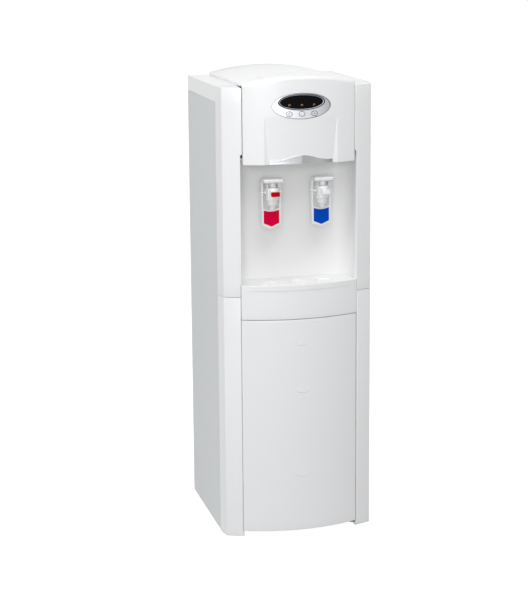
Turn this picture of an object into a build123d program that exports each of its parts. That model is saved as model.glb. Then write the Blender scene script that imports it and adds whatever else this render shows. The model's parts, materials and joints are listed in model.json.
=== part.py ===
from build123d import *
from math import cos, hypot, pi, radians, sin, sqrt
import os

os.makedirs("parts", exist_ok=True)

# A floor-standing water cooler: a bottle bay behind a hinged door, a drip deck and a cup alcove with
# a hot and a cold tap above it, and a head with a small display under a domed lid. Millimetres, +X to
# the viewer's right, +Y towards the back, +Z up, with the origin on the floor under the middle of the
# bounding box.

# ------------------------------------------------------------------ the cabinet as a whole
overall_width = 374.0
overall_depth = 387.0
front_bow = 28.5  # crown of the bowed front ahead of the door's edges
corner_set_back = 44.0  # pillar's outer front corner behind that crown
bay_half = 142.0  # half the gap between the pillars, at the door and the apron
foot_step = 2.8  # how much further the pillars reach in below the door
alcove_step = 1.8  # the same at the alcove
head_step = 5.6  # the same at the head cover
chamfer_width = 6.5
chamfer_depth = 35.0
seam_rise = 53.5  # line between the lower and upper pillars, above the apron's foot
door_bottom = 13.2
door_height = 521.8
door_seam = 1.5  # between the door and the apron
apron_height = 82.0
alcove_height = 284.5  # from the apron's top to the head cover
notch_height = 24.0  # wider stretch beside the head cover's foot
head_height = 181.0  # from the head cover's foot to the ledges beside the lid
lid_rise = 24.0  # crown of the domed lid above those ledges
skirt_height = 37.0  # skirt of the top frame
sheet = 1.0  # painted steel sheet
shell = 3.0  # moulded outer shells
liner = 2.5  # moulded inner panels
seat = 0.3  # gap between fixed pieces that sit on each other
seam = 0.8  # gap of a visible seam line

half_width = overall_width / 2
foot_half = bay_half - foot_step
alcove_half = bay_half - alcove_step
head_half = bay_half - head_step
y_crown = -overall_depth / 2
y_back = overall_depth / 2
y_corner = y_crown + corner_set_back
y_edge = y_crown + front_bow
corner_x = half_width - chamfer_width
chamfer_y = y_corner + chamfer_depth
door_top = door_bottom + door_height
apron_bottom = door_top + door_seam
seam_height = apron_bottom + seam_rise
apron_top = apron_bottom + apron_height
head_bottom = apron_top + alcove_height
notch_top = head_bottom + notch_height
shoulder_height = head_bottom + head_height
crown_height = shoulder_height + lid_rise
skirt_bottom = shoulder_height - skirt_height
bow_radius = (bay_half**2 + front_bow**2) / (2 * front_bow)
bow_centre = y_crown + bow_radius


def front_y(x, inset=0.0):
    """Y of the bowed front at x, moved inwards by inset."""
    return bow_centre - sqrt((bow_radius - inset) ** 2 - x**2)


def pillar_y(x):
    """Y of the pillar's slanted front face at x."""
    return y_corner + (corner_x - x) / (corner_x - bay_half) * (y_edge - y_corner)


def front_plan(left, right, back, inset=0.0):
    """Edges of a plan outline: the bowed front, two straight sides and a straight back."""
    middle = (left + right) / 2
    with BuildLine() as outline:
        ThreePointArc(
            (left, front_y(left, inset)),
            (middle, front_y(middle, inset)),
            (right, front_y(right, inset)),
        )
        Polyline(
            (right, front_y(right, inset)),
            (right, back),
            (left, back),
            (left, front_y(left, inset)),
        )
    return outline.edges()


def bowed_plate(outline, near, far):
    """A plate that follows the bowed front between two depths, cut to an outline in X and Z."""
    low = outline.bounding_box().min.Y - 5
    high = outline.bounding_box().max.Y + 5
    reach = outline.bounding_box().max.X + 5
    with BuildPart() as plate:
        with BuildSketch(Plane.XY.offset(low)):
            make_face(front_plan(-reach, reach, 0, near))
            make_face(front_plan(-reach - 1, reach + 1, 1, far), mode=Mode.SUBTRACT)
        extrude(amount=high - low)
        with BuildSketch(Plane.XZ.offset(-y_crown + 5)):
            add(outline)
        extrude(amount=y_crown - 5, mode=Mode.INTERSECT)
    return plate.part


def write(piece, label):
    """Names a finished piece and writes it."""
    piece.part.label = label
    export_step(piece.part, f"parts/{label}.step")


# ------------------------------------------------------------------ pillars and side panels
tongue_length = 14.0  # tongue behind the side panel
pillar_edge_round = 1.6
pillar_cap = 6.0
pillar_cap_drop = 3.0  # fall of the pillar's top towards the front
panel_bottom = 4.0
rear_flange = 12.0
bend_radius = 1.0
foot_gap = 0.6  # between the foot's top and the door's lower edge
alcove_depth = 55.0  # back wall of the alcove behind the pillars' outer corners
alcove_corner = 42.0  # radius of its two rear corners

alcove_y = y_corner + alcove_depth
pillar_back = alcove_y - alcove_corner - seat
tongue_outer = half_width - sheet - seat
tongue_inner = tongue_outer - shell
tongue_back = chamfer_y + tongue_length
foot_height = door_bottom - foot_gap


def pillar_section(inner):
    """Plan of the right pillar: front, chamfer and inner wall, and a tongue behind the side panel."""
    with BuildSketch() as section:
        with BuildLine():
            Polyline(
                (half_width, chamfer_y),
                (corner_x, y_corner),
                (inner, pillar_y(inner)),
                (inner, pillar_back),
                (inner + shell, pillar_back),
                (inner + shell, pillar_y(inner + shell) + shell),
                (corner_x - shell, y_corner + shell),
                (tongue_inner, chamfer_y),
                (tongue_inner, tongue_back),
                (tongue_outer, tongue_back),
                (tongue_outer, chamfer_y),
                close=True,
            )
        make_face()
        for corner in ((corner_x, y_corner), (inner, pillar_y(inner))):
            fillet(section.vertices().sort_by_distance(corner)[0], pillar_edge_round)
    return section.sketch


with BuildPart() as pillar_lower_right:
    for low, high, inner in (
        (0, foot_height, foot_half),
        (foot_height, seam_height - seam / 2, bay_half),
    ):
        with BuildSketch(Plane.XY.offset(low)):
            add(pillar_section(inner))
        extrude(amount=high - low)

with BuildPart() as pillar_upper_right:
    for low, high, inner in (
        (seam_height + seam / 2, apron_top, bay_half),
        (apron_top, notch_top, alcove_half),
        (notch_top, shoulder_height, head_half),
    ):
        with BuildSketch(Plane.XY.offset(low)):
            add(pillar_section(inner))
        extrude(amount=high - low)
    # the top frame takes the tongue's place above its skirt
    with Locations((half_width, chamfer_y, skirt_bottom - seat)):
        Box(
            2 * (half_width - tongue_inner),
            2 * tongue_length,
            crown_height - skirt_bottom,
            align=(Align.CENTER, Align.MIN, Align.MIN),
            mode=Mode.SUBTRACT,
        )
    with BuildSketch(Plane.XY.offset(shoulder_height - pillar_cap)) as cap_plan:
        with BuildLine():
            Polyline(
                (half_width, chamfer_y),
                (corner_x, y_corner),
                (head_half, pillar_y(head_half)),
                (head_half, chamfer_y),
                close=True,
            )
        make_face()
        for corner in ((corner_x, y_corner), (head_half, pillar_y(head_half))):
            fillet(cap_plan.vertices().sort_by_distance(corner)[0], pillar_edge_round)
    extrude(amount=pillar_cap)
    with BuildSketch(Plane.YZ.offset(head_half - shell)):
        with BuildLine():
            Polyline(
                (chamfer_y, shoulder_height),
                (y_edge - shell, shoulder_height + shell),
                (y_edge - shell, shoulder_height - pillar_cap_drop),
                close=True,
            )
        make_face()
    extrude(amount=half_width, mode=Mode.SUBTRACT)

with BuildPart() as side_panel_right:
    with BuildSketch(Plane.XY.offset(panel_bottom)) as panel_plan:
        with BuildLine():
            Polyline(
                (half_width, chamfer_y + seat),
                (half_width, y_back),
                (half_width - rear_flange, y_back),
                (half_width - rear_flange, y_back - sheet),
                (half_width - sheet, y_back - sheet),
                (half_width - sheet, chamfer_y + seat),
                close=True,
            )
        make_face()
        outside = panel_plan.vertices().sort_by_distance((half_width, y_back))[0]
        fillet(outside, bend_radius + sheet)
        inside = panel_plan.vertices().sort_by_distance((half_width - sheet, y_back - sheet))[0]
        fillet(inside, bend_radius)
    extrude(amount=skirt_bottom - seat - panel_bottom)

with BuildPart() as pillar_lower_left:
    mirror(pillar_lower_right.part, about=Plane.YZ)

with BuildPart() as pillar_upper_left:
    mirror(pillar_upper_right.part, about=Plane.YZ)

with BuildPart() as side_panel_left:
    mirror(side_panel_right.part, about=Plane.YZ)

write(pillar_lower_right, "pillar_lower_right")
write(pillar_lower_left, "pillar_lower_left")
write(pillar_upper_right, "pillar_upper_right")
write(pillar_upper_left, "pillar_upper_left")
write(side_panel_right, "side_panel_right")
write(side_panel_left, "side_panel_left")

# ------------------------------------------------------------------ lid, top frame and head cover
lid_side_gap = 1.1  # between the lid or the head cover and the pillars
lid_side = 7.0  # upright edge of the lid above the ledge
lid_back_gap = 14.0  # ledge behind the lid
lid_ledge = 10.0  # width of the ledge that carries the lid
brow_depth = 101.5  # how far the head cover's brow runs back at the middle
brow_side_inset = 10.0  # rear edge of the brow behind the bow's ends, at the sides
top_edge_round = 9.0
frame_edge_round = 2.5

lid_half = head_half - lid_side_gap
lid_bottom = shoulder_height + seat
lid_shoulder = lid_bottom + lid_side
lid_back = y_back - lid_back_gap
arch_rise = crown_height - lid_shoulder
arch_radius = (lid_half**2 + arch_rise**2) / (2 * arch_rise)
arch_centre = crown_height - arch_radius
brow_side_y = y_edge + brow_side_inset
brow_mid_y = y_crown + brow_depth
brow_rise = brow_mid_y - brow_side_y
brow_radius = (lid_half**2 + brow_rise**2) / (2 * brow_rise)
brow_centre = brow_mid_y - brow_radius


def brow_y(x):
    """Y of the brow's rear edge at x."""
    return brow_centre + sqrt(brow_radius**2 - x**2)


def arch_outline(inset, bottom):
    """Edges of the lid's section in X and Z: upright sides under one arch."""
    half = lid_half - inset
    radius = arch_radius - inset
    shoulder = arch_centre + sqrt(radius**2 - half**2)
    with BuildLine() as outline:
        ThreePointArc((-half, shoulder), (0, arch_centre + radius), (half, shoulder))
        Polyline((half, shoulder), (half, bottom), (-half, bottom), (-half, shoulder))
    return outline.edges()


with BuildPart() as top_lid:
    with BuildSketch(Plane.XZ.offset(-lid_back)):
        make_face(arch_outline(0, lid_bottom))
    extrude(amount=lid_back - y_edge)
    rear_arch = top_lid.edges().sort_by_distance((0, lid_back, crown_height))[0]
    fillet(rear_arch, frame_edge_round)
    with BuildSketch(Plane.XZ.offset(-lid_back + shell)):
        make_face(arch_outline(shell, lid_bottom - shell))
    extrude(amount=lid_back - y_edge, mode=Mode.SUBTRACT)
    with BuildSketch(Plane.XY.offset(lid_bottom - shell)):
        with Locations((0, brow_centre)):
            Circle(brow_radius + seam / 4)
    extrude(amount=crown_height - lid_bottom + 2 * shell, mode=Mode.SUBTRACT)

with BuildPart() as top_frame:
    with BuildSketch(Plane.XY.offset(skirt_bottom)):
        with Locations((0, (chamfer_y + seat + y_back) / 2)):
            Rectangle(overall_width, y_back - chamfer_y - seat)
    extrude(amount=shoulder_height - skirt_bottom)
    ledge_edges = top_frame.edges().group_by(Axis.Z)[-1].sort_by(Axis.Y)[1:]
    rear_corners = top_frame.edges().filter_by(Axis.Z).group_by(Axis.Y)[-1]
    fillet(ledge_edges + rear_corners, frame_edge_round)
    with BuildSketch(Plane.XY.offset(skirt_bottom - shell)):
        with Locations((0, chamfer_y - shell)):
            Rectangle(
                overall_width - 2 * shell,
                y_back - chamfer_y,
                align=(Align.CENTER, Align.MIN),
            )
    extrude(amount=shoulder_height - skirt_bottom, mode=Mode.SUBTRACT)
    with BuildSketch(Plane.XY.offset(skirt_bottom)):
        with Locations((0, chamfer_y + lid_ledge)):
            Rectangle(
                2 * (lid_half - lid_ledge),
                lid_back - chamfer_y - 2 * lid_ledge,
                align=(Align.CENTER, Align.MIN),
            )
    extrude(amount=crown_height - skirt_bottom, mode=Mode.SUBTRACT)

# the cover's front: a shallow panel that fades out upwards, and a wave of trim at its foot
panel_height = 109.0
panel_top_half = 87.0
panel_foot_half = 78.0
panel_depth = 1.8
trim_half = 76.0
trim_rise = 1.5  # foot of the trim above the cover's foot
trim_end_height = 8.0
trim_crest = 20.0
trim_gap = 0.3
bezel_drop = 45.5  # centre of the display's bezel below the ledges
bezel_half_width = 70.0
bezel_half_height = 29.5

panel_top_z = head_bottom + panel_height
trim_bottom = head_bottom + trim_rise
trim_end_top = trim_bottom + trim_end_height
trim_peak = trim_bottom + trim_crest
bezel_z = shoulder_height - bezel_drop


def trim_outline(grow):
    """Outline of the trim in X and Z: a straight foot under a wave that peaks in the middle."""
    half = trim_half + grow
    quarter = trim_half / 2
    with BuildSketch() as outline:
        with BuildLine():
            Spline(
                (-half, trim_end_top + grow),
                (-quarter, trim_end_top + 0.28 * (trim_peak - trim_end_top) + grow),
                (0, trim_peak + grow),
                (quarter, trim_end_top + 0.28 * (trim_peak - trim_end_top) + grow),
                (half, trim_end_top + grow),
                tangents=((1, 0.1), (1, -0.1)),
            )
            Polyline(
                (half, trim_end_top + grow),
                (half, trim_bottom - grow),
                (-half, trim_bottom - grow),
                (-half, trim_end_top + grow),
            )
        make_face()
    return outline.sketch


def oval(half_wide, half_high, z):
    """An upright oval in X and Z, centred on the cover."""
    with BuildSketch() as outline:
        with Locations((0, z)):
            Ellipse(half_wide, half_high)
    return outline.sketch


with BuildPart() as head_core:
    with BuildSketch(Plane.XY.offset(head_bottom - shell)):
        make_face(front_plan(-lid_half + shell, lid_half - shell, 0, shell))
    extrude(amount=crown_height - head_bottom + shell)
    with BuildSketch(Plane.XZ.offset(-shell)):
        make_face(arch_outline(shell, head_bottom - 2 * shell))
    extrude(amount=overall_depth, mode=Mode.INTERSECT)

# a bow cylinder tipped back at its foot marks the floor of the shallow panel
panel_tilt = panel_depth / (panel_top_z - head_bottom)
tipped = Plane(
    origin=(0, bow_centre + panel_tilt * (panel_top_z - head_bottom), head_bottom),
    x_dir=(1, 0, 0),
    z_dir=(0, -panel_tilt, 1),
)
with BuildPart() as panel_cutter:
    with BuildSketch(Plane.XZ.offset(-y_crown + shell)):
        with BuildLine():
            Polyline(
                (-panel_foot_half, head_bottom - shell),
                (-panel_top_half, panel_top_z),
                (panel_top_half, panel_top_z),
                (panel_foot_half, head_bottom - shell),
                close=True,
            )
        make_face()
    extrude(amount=-2 * front_bow)
    with BuildSketch(tipped.offset(-2 * shell)):
        Circle(bow_radius)
    extrude(amount=panel_top_z - head_bottom + 4 * shell, mode=Mode.SUBTRACT)

with BuildPart() as head_cover:
    with BuildSketch(Plane.XY.offset(head_bottom)):
        make_face(front_plan(-lid_half, lid_half, 0))
    extrude(amount=crown_height - head_bottom)
    with BuildSketch(Plane.XZ):
        make_face(arch_outline(0, head_bottom - shell))
    extrude(amount=overall_depth, mode=Mode.INTERSECT)
    brow_edge = head_cover.edges().sort_by_distance((0, y_crown, crown_height))[0]
    fillet(brow_edge, top_edge_round)
    with BuildSketch(Plane.XY.offset(head_bottom - shell)):
        with Locations((0, brow_centre)):
            Circle(brow_radius - seam / 4)
    extrude(amount=crown_height, mode=Mode.INTERSECT)
    add(head_core.part, mode=Mode.SUBTRACT)
    add(panel_cutter.part, mode=Mode.SUBTRACT)
    with BuildSketch(Plane.XZ.offset(-y_crown + shell)):
        add(trim_outline(trim_gap))
        add(oval(bezel_half_width + seat, bezel_half_height + seat, bezel_z))
    extrude(amount=-2 * front_bow, mode=Mode.SUBTRACT)

trim_front = 2.1  # depth of the trim's face behind the bow's own face
trim_thickness = 1.6

with BuildPart() as head_trim:
    add(bowed_plate(trim_outline(0), trim_front, trim_front + trim_thickness))

write(top_lid, "top_lid")
write(top_frame, "top_frame")
write(head_cover, "head_cover")
write(head_trim, "head_trim")

# ------------------------------------------------------------------ display and buttons
display_lift = 9.1  # centre of the window above the bezel's
ring_half_width = 56.5
ring_half_height = 19.0
window_half_width = 51.4
window_half_height = 15.8
bezel_face = 0.8  # depth of the bezel's face behind the bow
bezel_thickness = 5.0
ring_face = 0.4
ring_thickness = 5.0
window_face = 1.4
window_thickness = 2.5
lamp_spacing = 29.3
lamp_drop = 7.0  # lamps below the window's centre
lamp_radius = 2.7
lamp_length = 9.0
button_radius = 5.2
button_clearance = 0.3
button_spacing = 30.0
button_drop = 17.9  # buttons below the bezel's centre
button_head = 0.6  # how far a button stands proud of the bezel
button_travel = 1.2
board_set_back = 17.5  # front of the control board behind the bow's crown
board_half_width = 66.0
control_board_height = 54.0
board_lift = 25.5  # top of the control board above the bezel's centre
board_thickness = 1.6
post_x = 61.0
post_radius = 3.0
switch_half = 3.0  # tactile switches on the board
switch_height = 1.5

display_z = bezel_z + display_lift
lamp_z = display_z - lamp_drop
button_z = bezel_z - button_drop
board_y = y_crown + board_set_back
board_high = bezel_z + board_lift
board_low = board_high - control_board_height

with BuildPart() as display_bezel:
    add(
        bowed_plate(
            oval(bezel_half_width, bezel_half_height, bezel_z),
            bezel_face,
            bezel_face + bezel_thickness,
        )
    )
    with BuildSketch(Plane.XZ.offset(-y_crown + shell)):
        add(oval(ring_half_width + seat, ring_half_height + seat, display_z))
        with Locations(*[(i * button_spacing, button_z) for i in (-1, 0, 1)]):
            Circle(button_radius + button_clearance)
    extrude(amount=-2 * front_bow, mode=Mode.SUBTRACT)
    # posts that carry the board
    with BuildSketch(Plane.XZ.offset(-board_y + seat)):
        with Locations((-post_x, bezel_z), (post_x, bezel_z)):
            Circle(post_radius)
    extrude(amount=board_y - front_y(post_x, bezel_face + bezel_thickness) + 1)

with BuildPart() as display_ring:
    add(
        bowed_plate(
            oval(ring_half_width, ring_half_height, display_z),
            ring_face,
            ring_face + ring_thickness,
        )
    )
    with BuildSketch(Plane.XZ.offset(-y_crown + shell)):
        add(oval(window_half_width + seat, window_half_height + seat, display_z))
    extrude(amount=-2 * front_bow, mode=Mode.SUBTRACT)

with BuildPart() as display_window:
    add(
        bowed_plate(
            oval(window_half_width, window_half_height, display_z),
            window_face,
            window_face + window_thickness,
        )
    )
    with BuildSketch(Plane.XZ.offset(-y_crown + shell)):
        with Locations(*[(i * lamp_spacing, lamp_z) for i in (-1, 0, 1)]):
            Circle(lamp_radius + seat)
    extrude(amount=-2 * front_bow, mode=Mode.SUBTRACT)

with BuildPart() as indicator_lamps:
    for i in (-1, 0, 1):
        with BuildSketch(Plane.XZ.offset(-front_y(i * lamp_spacing, window_face))):
            with Locations((i * lamp_spacing, lamp_z)):
                Circle(lamp_radius)
        extrude(amount=-lamp_length)

with BuildPart() as control_board:
    with BuildSketch(Plane.XZ.offset(-board_y)):
        with Locations((0, (board_low + board_high) / 2)):
            Rectangle(2 * board_half_width, board_high - board_low)
    extrude(amount=-board_thickness)
    with BuildSketch(Plane.XZ.offset(-board_y)):
        with Locations(*[(i * button_spacing, button_z) for i in (-1, 0, 1)]):
            Rectangle(2 * switch_half, 2 * switch_half)
    extrude(amount=switch_height)

write(display_bezel, "display_bezel")
write(display_ring, "display_ring")
write(display_window, "display_window")
write(indicator_lamps, "indicator_lamps")
write(control_board, "control_board")

for i, side in ((-1, "left"), (0, "centre"), (1, "right")):
    face_y = front_y(i * button_spacing, bezel_face) - button_head
    tail_y = board_y - switch_height - button_travel - seat
    with BuildPart() as button:
        with BuildSketch(Plane.XZ.offset(-tail_y)):
            with Locations((i * button_spacing, button_z)):
                Circle(button_radius)
        extrude(amount=tail_y - face_y)
        fillet(button.edges().group_by(Axis.Y)[0], button_head)
    write(button, f"button_{side}")

# ------------------------------------------------------------------ alcove, drip deck and apron
deck_drop = 0.5  # deck below the apron's top
deck_thickness = 6.0
deck_gap = 0.6  # around the loose deck
dish_radius = 18.5
dish_floor_radius = 14.0
dish_depth = 3.4
dish_spacing = 63.0
dish_set_back = 42.0  # centres of the dishes behind the bow's crown
drain_radius = 2.2
drain_circle = 8.0
drain_count = 6
thumb_radius = 5.5
thumb_depth = 3.0
basin_depth = 28.0
basin_inset = 3.0
basin_wall = 2.0
apron_side_gap = 0.7
apron_floor = 2.5
apron_back = pillar_back - 0.5
ceiling_rise = 12.0  # alcove's ceiling above the head cover's foot
ceiling_inset = 4.6  # front edge of the ceiling behind the bow
alcove_flange = 12.0
shelf_rise = 23.5  # underside of the mid shelf above the apron's foot
shelf_sheet = 1.5
tap_x = 61.0
tap_reach = 55.0  # tap's axis in front of the alcove's wall
tap_rise = 208.0  # tap's tail above the deck
tap_tail_radius = 9.0
tap_tail_clearance = 0.3

deck_top = apron_top - deck_drop
dish_y = y_crown + dish_set_back
alcove_ceiling_z = head_bottom + ceiling_rise
shelf_z = apron_bottom + shelf_rise
tap_y = alcove_y - tap_reach
tap_tail_z = deck_top + tap_rise
deck_bottom = deck_top - deck_thickness
basin_top = deck_bottom - seat
basin_bottom = basin_top - basin_depth
corner_centre_x = alcove_half - alcove_corner
corner_centre_y = alcove_y - alcove_corner


def alcove_line(grow, start_y):
    """Edges along the alcove's wall in plan, moved outwards by grow, from start_y round to start_y."""
    radius = alcove_corner + grow
    side_x = corner_centre_x + sqrt(radius**2 - max(0, start_y - corner_centre_y) ** 2)
    corner_y = max(start_y, corner_centre_y)
    half_turn = radius * sin(pi / 4)
    rear = alcove_y + grow
    with BuildLine() as line:
        if start_y < corner_centre_y:
            Line((-side_x, start_y), (-side_x, corner_y))
        ThreePointArc(
            (-side_x, corner_y),
            (-corner_centre_x - half_turn, corner_centre_y + half_turn),
            (-corner_centre_x, rear),
        )
        Line((-corner_centre_x, rear), (corner_centre_x, rear))
        ThreePointArc(
            (corner_centre_x, rear),
            (corner_centre_x + half_turn, corner_centre_y + half_turn),
            (side_x, corner_y),
        )
        if start_y < corner_centre_y:
            Line((side_x, corner_y), (side_x, start_y))
    return line.edges(), side_x


def deck_section(shrink, front_inset):
    """Plan of a piece that fills the alcove's floor: the bowed front and the alcove's rounded back."""
    half = alcove_half - shrink
    start_y = front_y(half, front_inset)
    rear, _ = alcove_line(-shrink, start_y)
    with BuildLine() as front:
        ThreePointArc((-half, start_y), (0, front_y(0, front_inset)), (half, start_y))
    return rear + front.edges()


with BuildPart() as alcove_panel:
    face, face_x = alcove_line(0, corner_centre_y)
    back, back_x = alcove_line(liner, corner_centre_y + liner)
    flange_x = alcove_half + alcove_flange
    with BuildLine() as ends:
        Polyline(
            (-face_x, corner_centre_y),
            (-flange_x, corner_centre_y),
            (-flange_x, corner_centre_y + liner),
            (-back_x, corner_centre_y + liner),
        )
        Polyline(
            (face_x, corner_centre_y),
            (flange_x, corner_centre_y),
            (flange_x, corner_centre_y + liner),
            (back_x, corner_centre_y + liner),
        )
    with BuildSketch(Plane.XY.offset(shelf_z + shelf_sheet + seat)):
        make_face(face + back + ends.edges())
    extrude(amount=alcove_ceiling_z + liner - shelf_z - shelf_sheet - seat)
    # ceiling, narrower where the head cover's side walls come down
    with BuildSketch(Plane.XY.offset(alcove_ceiling_z)):
        cover_half = lid_half - shell - seam
        make_face(deck_section(0, ceiling_inset))
        with Locations((0, y_crown)):
            Rectangle(
                overall_width,
                brow_y(lid_half - shell) + seam - y_crown,
                align=(Align.CENTER, Align.MIN),
                mode=Mode.SUBTRACT,
            )
        make_face(front_plan(-cover_half, cover_half, corner_centre_y, ceiling_inset))
    extrude(amount=liner)
    with BuildSketch(Plane.XZ.offset(-alcove_y + 1)):
        with Locations((-tap_x, tap_tail_z), (tap_x, tap_tail_z)):
            Circle(tap_tail_radius + tap_tail_clearance)
    extrude(amount=-liner - 2, mode=Mode.SUBTRACT)

with BuildPart() as drip_deck:
    with BuildSketch(Plane.XY.offset(deck_bottom)):
        make_face(deck_section(deck_gap, shell + deck_gap))
    extrude(amount=deck_thickness)
    fillet(drip_deck.edges().group_by(Axis.Z)[-1], 1.0)
    for i in (-1, 0, 1):
        with Locations((i * dish_spacing, dish_y, deck_top)):
            Cone(
                dish_floor_radius,
                dish_radius,
                dish_depth,
                align=(Align.CENTER, Align.CENTER, Align.MAX),
                mode=Mode.SUBTRACT,
            )
        with BuildSketch(Plane.XY.offset(deck_bottom - 1)):
            with Locations((i * dish_spacing, dish_y)):
                with PolarLocations(drain_circle, drain_count):
                    Circle(drain_radius)
        extrude(amount=deck_thickness, mode=Mode.SUBTRACT)
    with Locations((0, dish_y - dish_radius, deck_top)):
        Cylinder(
            thumb_radius,
            thumb_depth,
            align=(Align.CENTER, Align.CENTER, Align.MAX),
            mode=Mode.SUBTRACT,
        )

with BuildPart() as drip_basin:
    with BuildSketch(Plane.XY.offset(basin_bottom)):
        make_face(deck_section(basin_inset, shell + basin_inset))
    extrude(amount=basin_depth)
    with BuildSketch(Plane.XY.offset(basin_bottom + basin_wall)):
        make_face(deck_section(basin_inset + basin_wall, shell + basin_inset + basin_wall))
    extrude(amount=basin_depth, mode=Mode.SUBTRACT)

# ------------------------------------------------------------------ door, hinge and catch
hinge_gap = 1.4  # beside the pillar on the hinge side
latch_gap = 0.9
door_depth = 15.0  # rear face of the door's liner behind the bow's ends
hinge_inset = 6.0  # hinge axis inside the pillar
hinge_set_back = 0.8  # hinge axis behind the bow's ends
hinge_pin_radius = 1.5
hinge_pin_clearance = 0.06
hinge_pin_engage = 5.5  # how far a pin reaches past the door's flange
door_flange = 2.5
thin_depth = 4.5  # rear of the thin stretch beside the hinge, behind the bow's ends
thin_width = 15.0
slope_width = 30.0
liner_gap = 0.5
bracket_thickness = 3.0
bracket_width = 13.0
magnet_inset = 28.0
magnet_width = 20.0
magnet_height = 14.0
magnet_depth = 3.4
magnet_drop = 4.0  # below the door's upper edge
strike_sheet = 1.5
strike_width = 28.0
strike_depth = 12.0
catch_gap = 0.4

door_back = y_edge + door_depth
hinge_x = bay_half - hinge_inset
hinge_y = y_edge + hinge_set_back
hinge_side_y = y_edge + thin_depth
thin_end_x = hinge_x - thin_width
slope_end_x = thin_end_x - slope_width
magnet_x = magnet_inset - bay_half
door_left = -bay_half + latch_gap
door_right = bay_half - hinge_gap


def door_plan(side_inset, inset, back_inset):
    """Plan of the door: bowed front, deep behind the middle and thin beside the hinge."""
    left = door_left + side_inset
    right = door_right - side_inset
    back = door_back - back_inset
    thin = hinge_side_y - back_inset
    with BuildLine() as outline:
        ThreePointArc(
            (left, front_y(left, inset)),
            (0, front_y(0, inset)),
            (right, front_y(right, inset)),
        )
        Polyline(
            (right, front_y(right, inset)),
            (right, thin),
            (thin_end_x, thin),
            (slope_end_x, back),
            (left, back),
            (left, front_y(left, inset)),
        )
    return outline.edges()


with BuildPart() as door_skin:
    with BuildSketch(Plane.XY.offset(door_bottom)):
        make_face(door_plan(0, 0, 0))
    extrude(amount=door_top - door_bottom)
    with BuildSketch(Plane.XY.offset(door_bottom + door_flange)):
        make_face(door_plan(door_flange, shell, -2 * shell))
    extrude(amount=door_top - door_bottom - 2 * door_flange, mode=Mode.SUBTRACT)
    with Locations((hinge_x, hinge_y, door_bottom - 1)):
        Cylinder(
            hinge_pin_radius + hinge_pin_clearance,
            door_top - door_bottom + 2,
            align=(Align.CENTER, Align.CENTER, Align.MIN),
            mode=Mode.SUBTRACT,
        )

with BuildPart() as door_liner:
    with BuildSketch(Plane.XY.offset(door_bottom + door_flange + liner_gap)):
        with BuildLine():
            Polyline(
                (door_left + door_flange + liner_gap, door_back),
                (slope_end_x, door_back),
                (thin_end_x, hinge_side_y),
                (door_right - door_flange - liner_gap, hinge_side_y),
                (door_right - door_flange - liner_gap, hinge_side_y - 1),
                (thin_end_x - 1, hinge_side_y - 1),
                (slope_end_x - 1, door_back - liner),
                (door_left + door_flange + liner_gap, door_back - liner),
                close=True,
            )
        make_face()
    extrude(amount=door_top - door_bottom - 2 * (door_flange + liner_gap))

magnet_top = door_top - magnet_drop
with BuildPart() as door_magnet:
    with Locations((magnet_x, door_back + seat, magnet_top)):
        Box(magnet_width, magnet_depth, magnet_height, align=(Align.CENTER, Align.MIN, Align.MAX))

strike_y = door_back + seat + magnet_depth + catch_gap
with BuildPart() as door_strike:
    with Locations((magnet_x, strike_y, apron_bottom - seat)):
        Box(
            strike_width,
            strike_depth,
            strike_sheet,
            align=(Align.CENTER, Align.MIN, Align.MAX),
        )
        Box(
            strike_width,
            strike_sheet,
            apron_bottom - seat - magnet_top + magnet_height,
            align=(Align.CENTER, Align.MIN, Align.MAX),
        )

with BuildPart() as apron:
    apron_half = bay_half - apron_side_gap
    with BuildSketch(Plane.XY.offset(apron_bottom)):
        make_face(front_plan(-apron_half, apron_half, apron_back))
    extrude(amount=apron_top - apron_bottom)
    basin_floor = basin_bottom - seat
    for low, high in (
        (apron_bottom + apron_floor, basin_floor - apron_floor),
        (basin_floor, apron_top + 1),
    ):
        with BuildSketch(Plane.XY.offset(low)):
            make_face(front_plan(-bay_half, bay_half, apron_back + 1, shell))
        extrude(amount=high - low, mode=Mode.SUBTRACT)
    with Locations((hinge_x, hinge_y, apron_bottom - 1)):
        Cylinder(
            hinge_pin_radius + hinge_pin_clearance,
            apron_floor + 2,
            align=(Align.CENTER, Align.CENTER, Align.MIN),
            mode=Mode.SUBTRACT,
        )

base_set_back = 18.5  # front of the base plate behind the pillars' outer corners
base_top = 24.0
base_flange_bottom = 8.0

base_front = y_corner + base_set_back
with BuildPart() as hinge_pins:
    upper_low = door_top - door_flange - hinge_pin_engage
    upper_high = apron_bottom + apron_floor
    with Locations((hinge_x, hinge_y, upper_low)):
        Cylinder(
            hinge_pin_radius,
            upper_high - upper_low,
            align=(Align.CENTER, Align.CENTER, Align.MIN),
        )
    bracket_top = door_bottom - seat
    bracket_right = foot_half - seat
    bracket_front = hinge_y - 2 * hinge_pin_radius
    with Locations((bracket_right, bracket_front, bracket_top)):
        Box(
            bracket_width,
            base_front - seat - bracket_front,
            bracket_thickness,
            align=(Align.MAX, Align.MIN, Align.MAX),
        )
    with Locations((hinge_x, hinge_y, bracket_top)):
        Cylinder(
            hinge_pin_radius,
            door_flange + hinge_pin_engage,
            align=(Align.CENTER, Align.CENTER, Align.MIN),
        )

write(alcove_panel, "alcove_panel")
write(drip_deck, "drip_deck")
write(drip_basin, "drip_basin")
write(apron, "apron")
write(door_skin, "door_skin")
write(door_liner, "door_liner")
write(door_magnet, "door_magnet")
write(door_strike, "door_strike")
write(hinge_pins, "hinge_pins")

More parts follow.
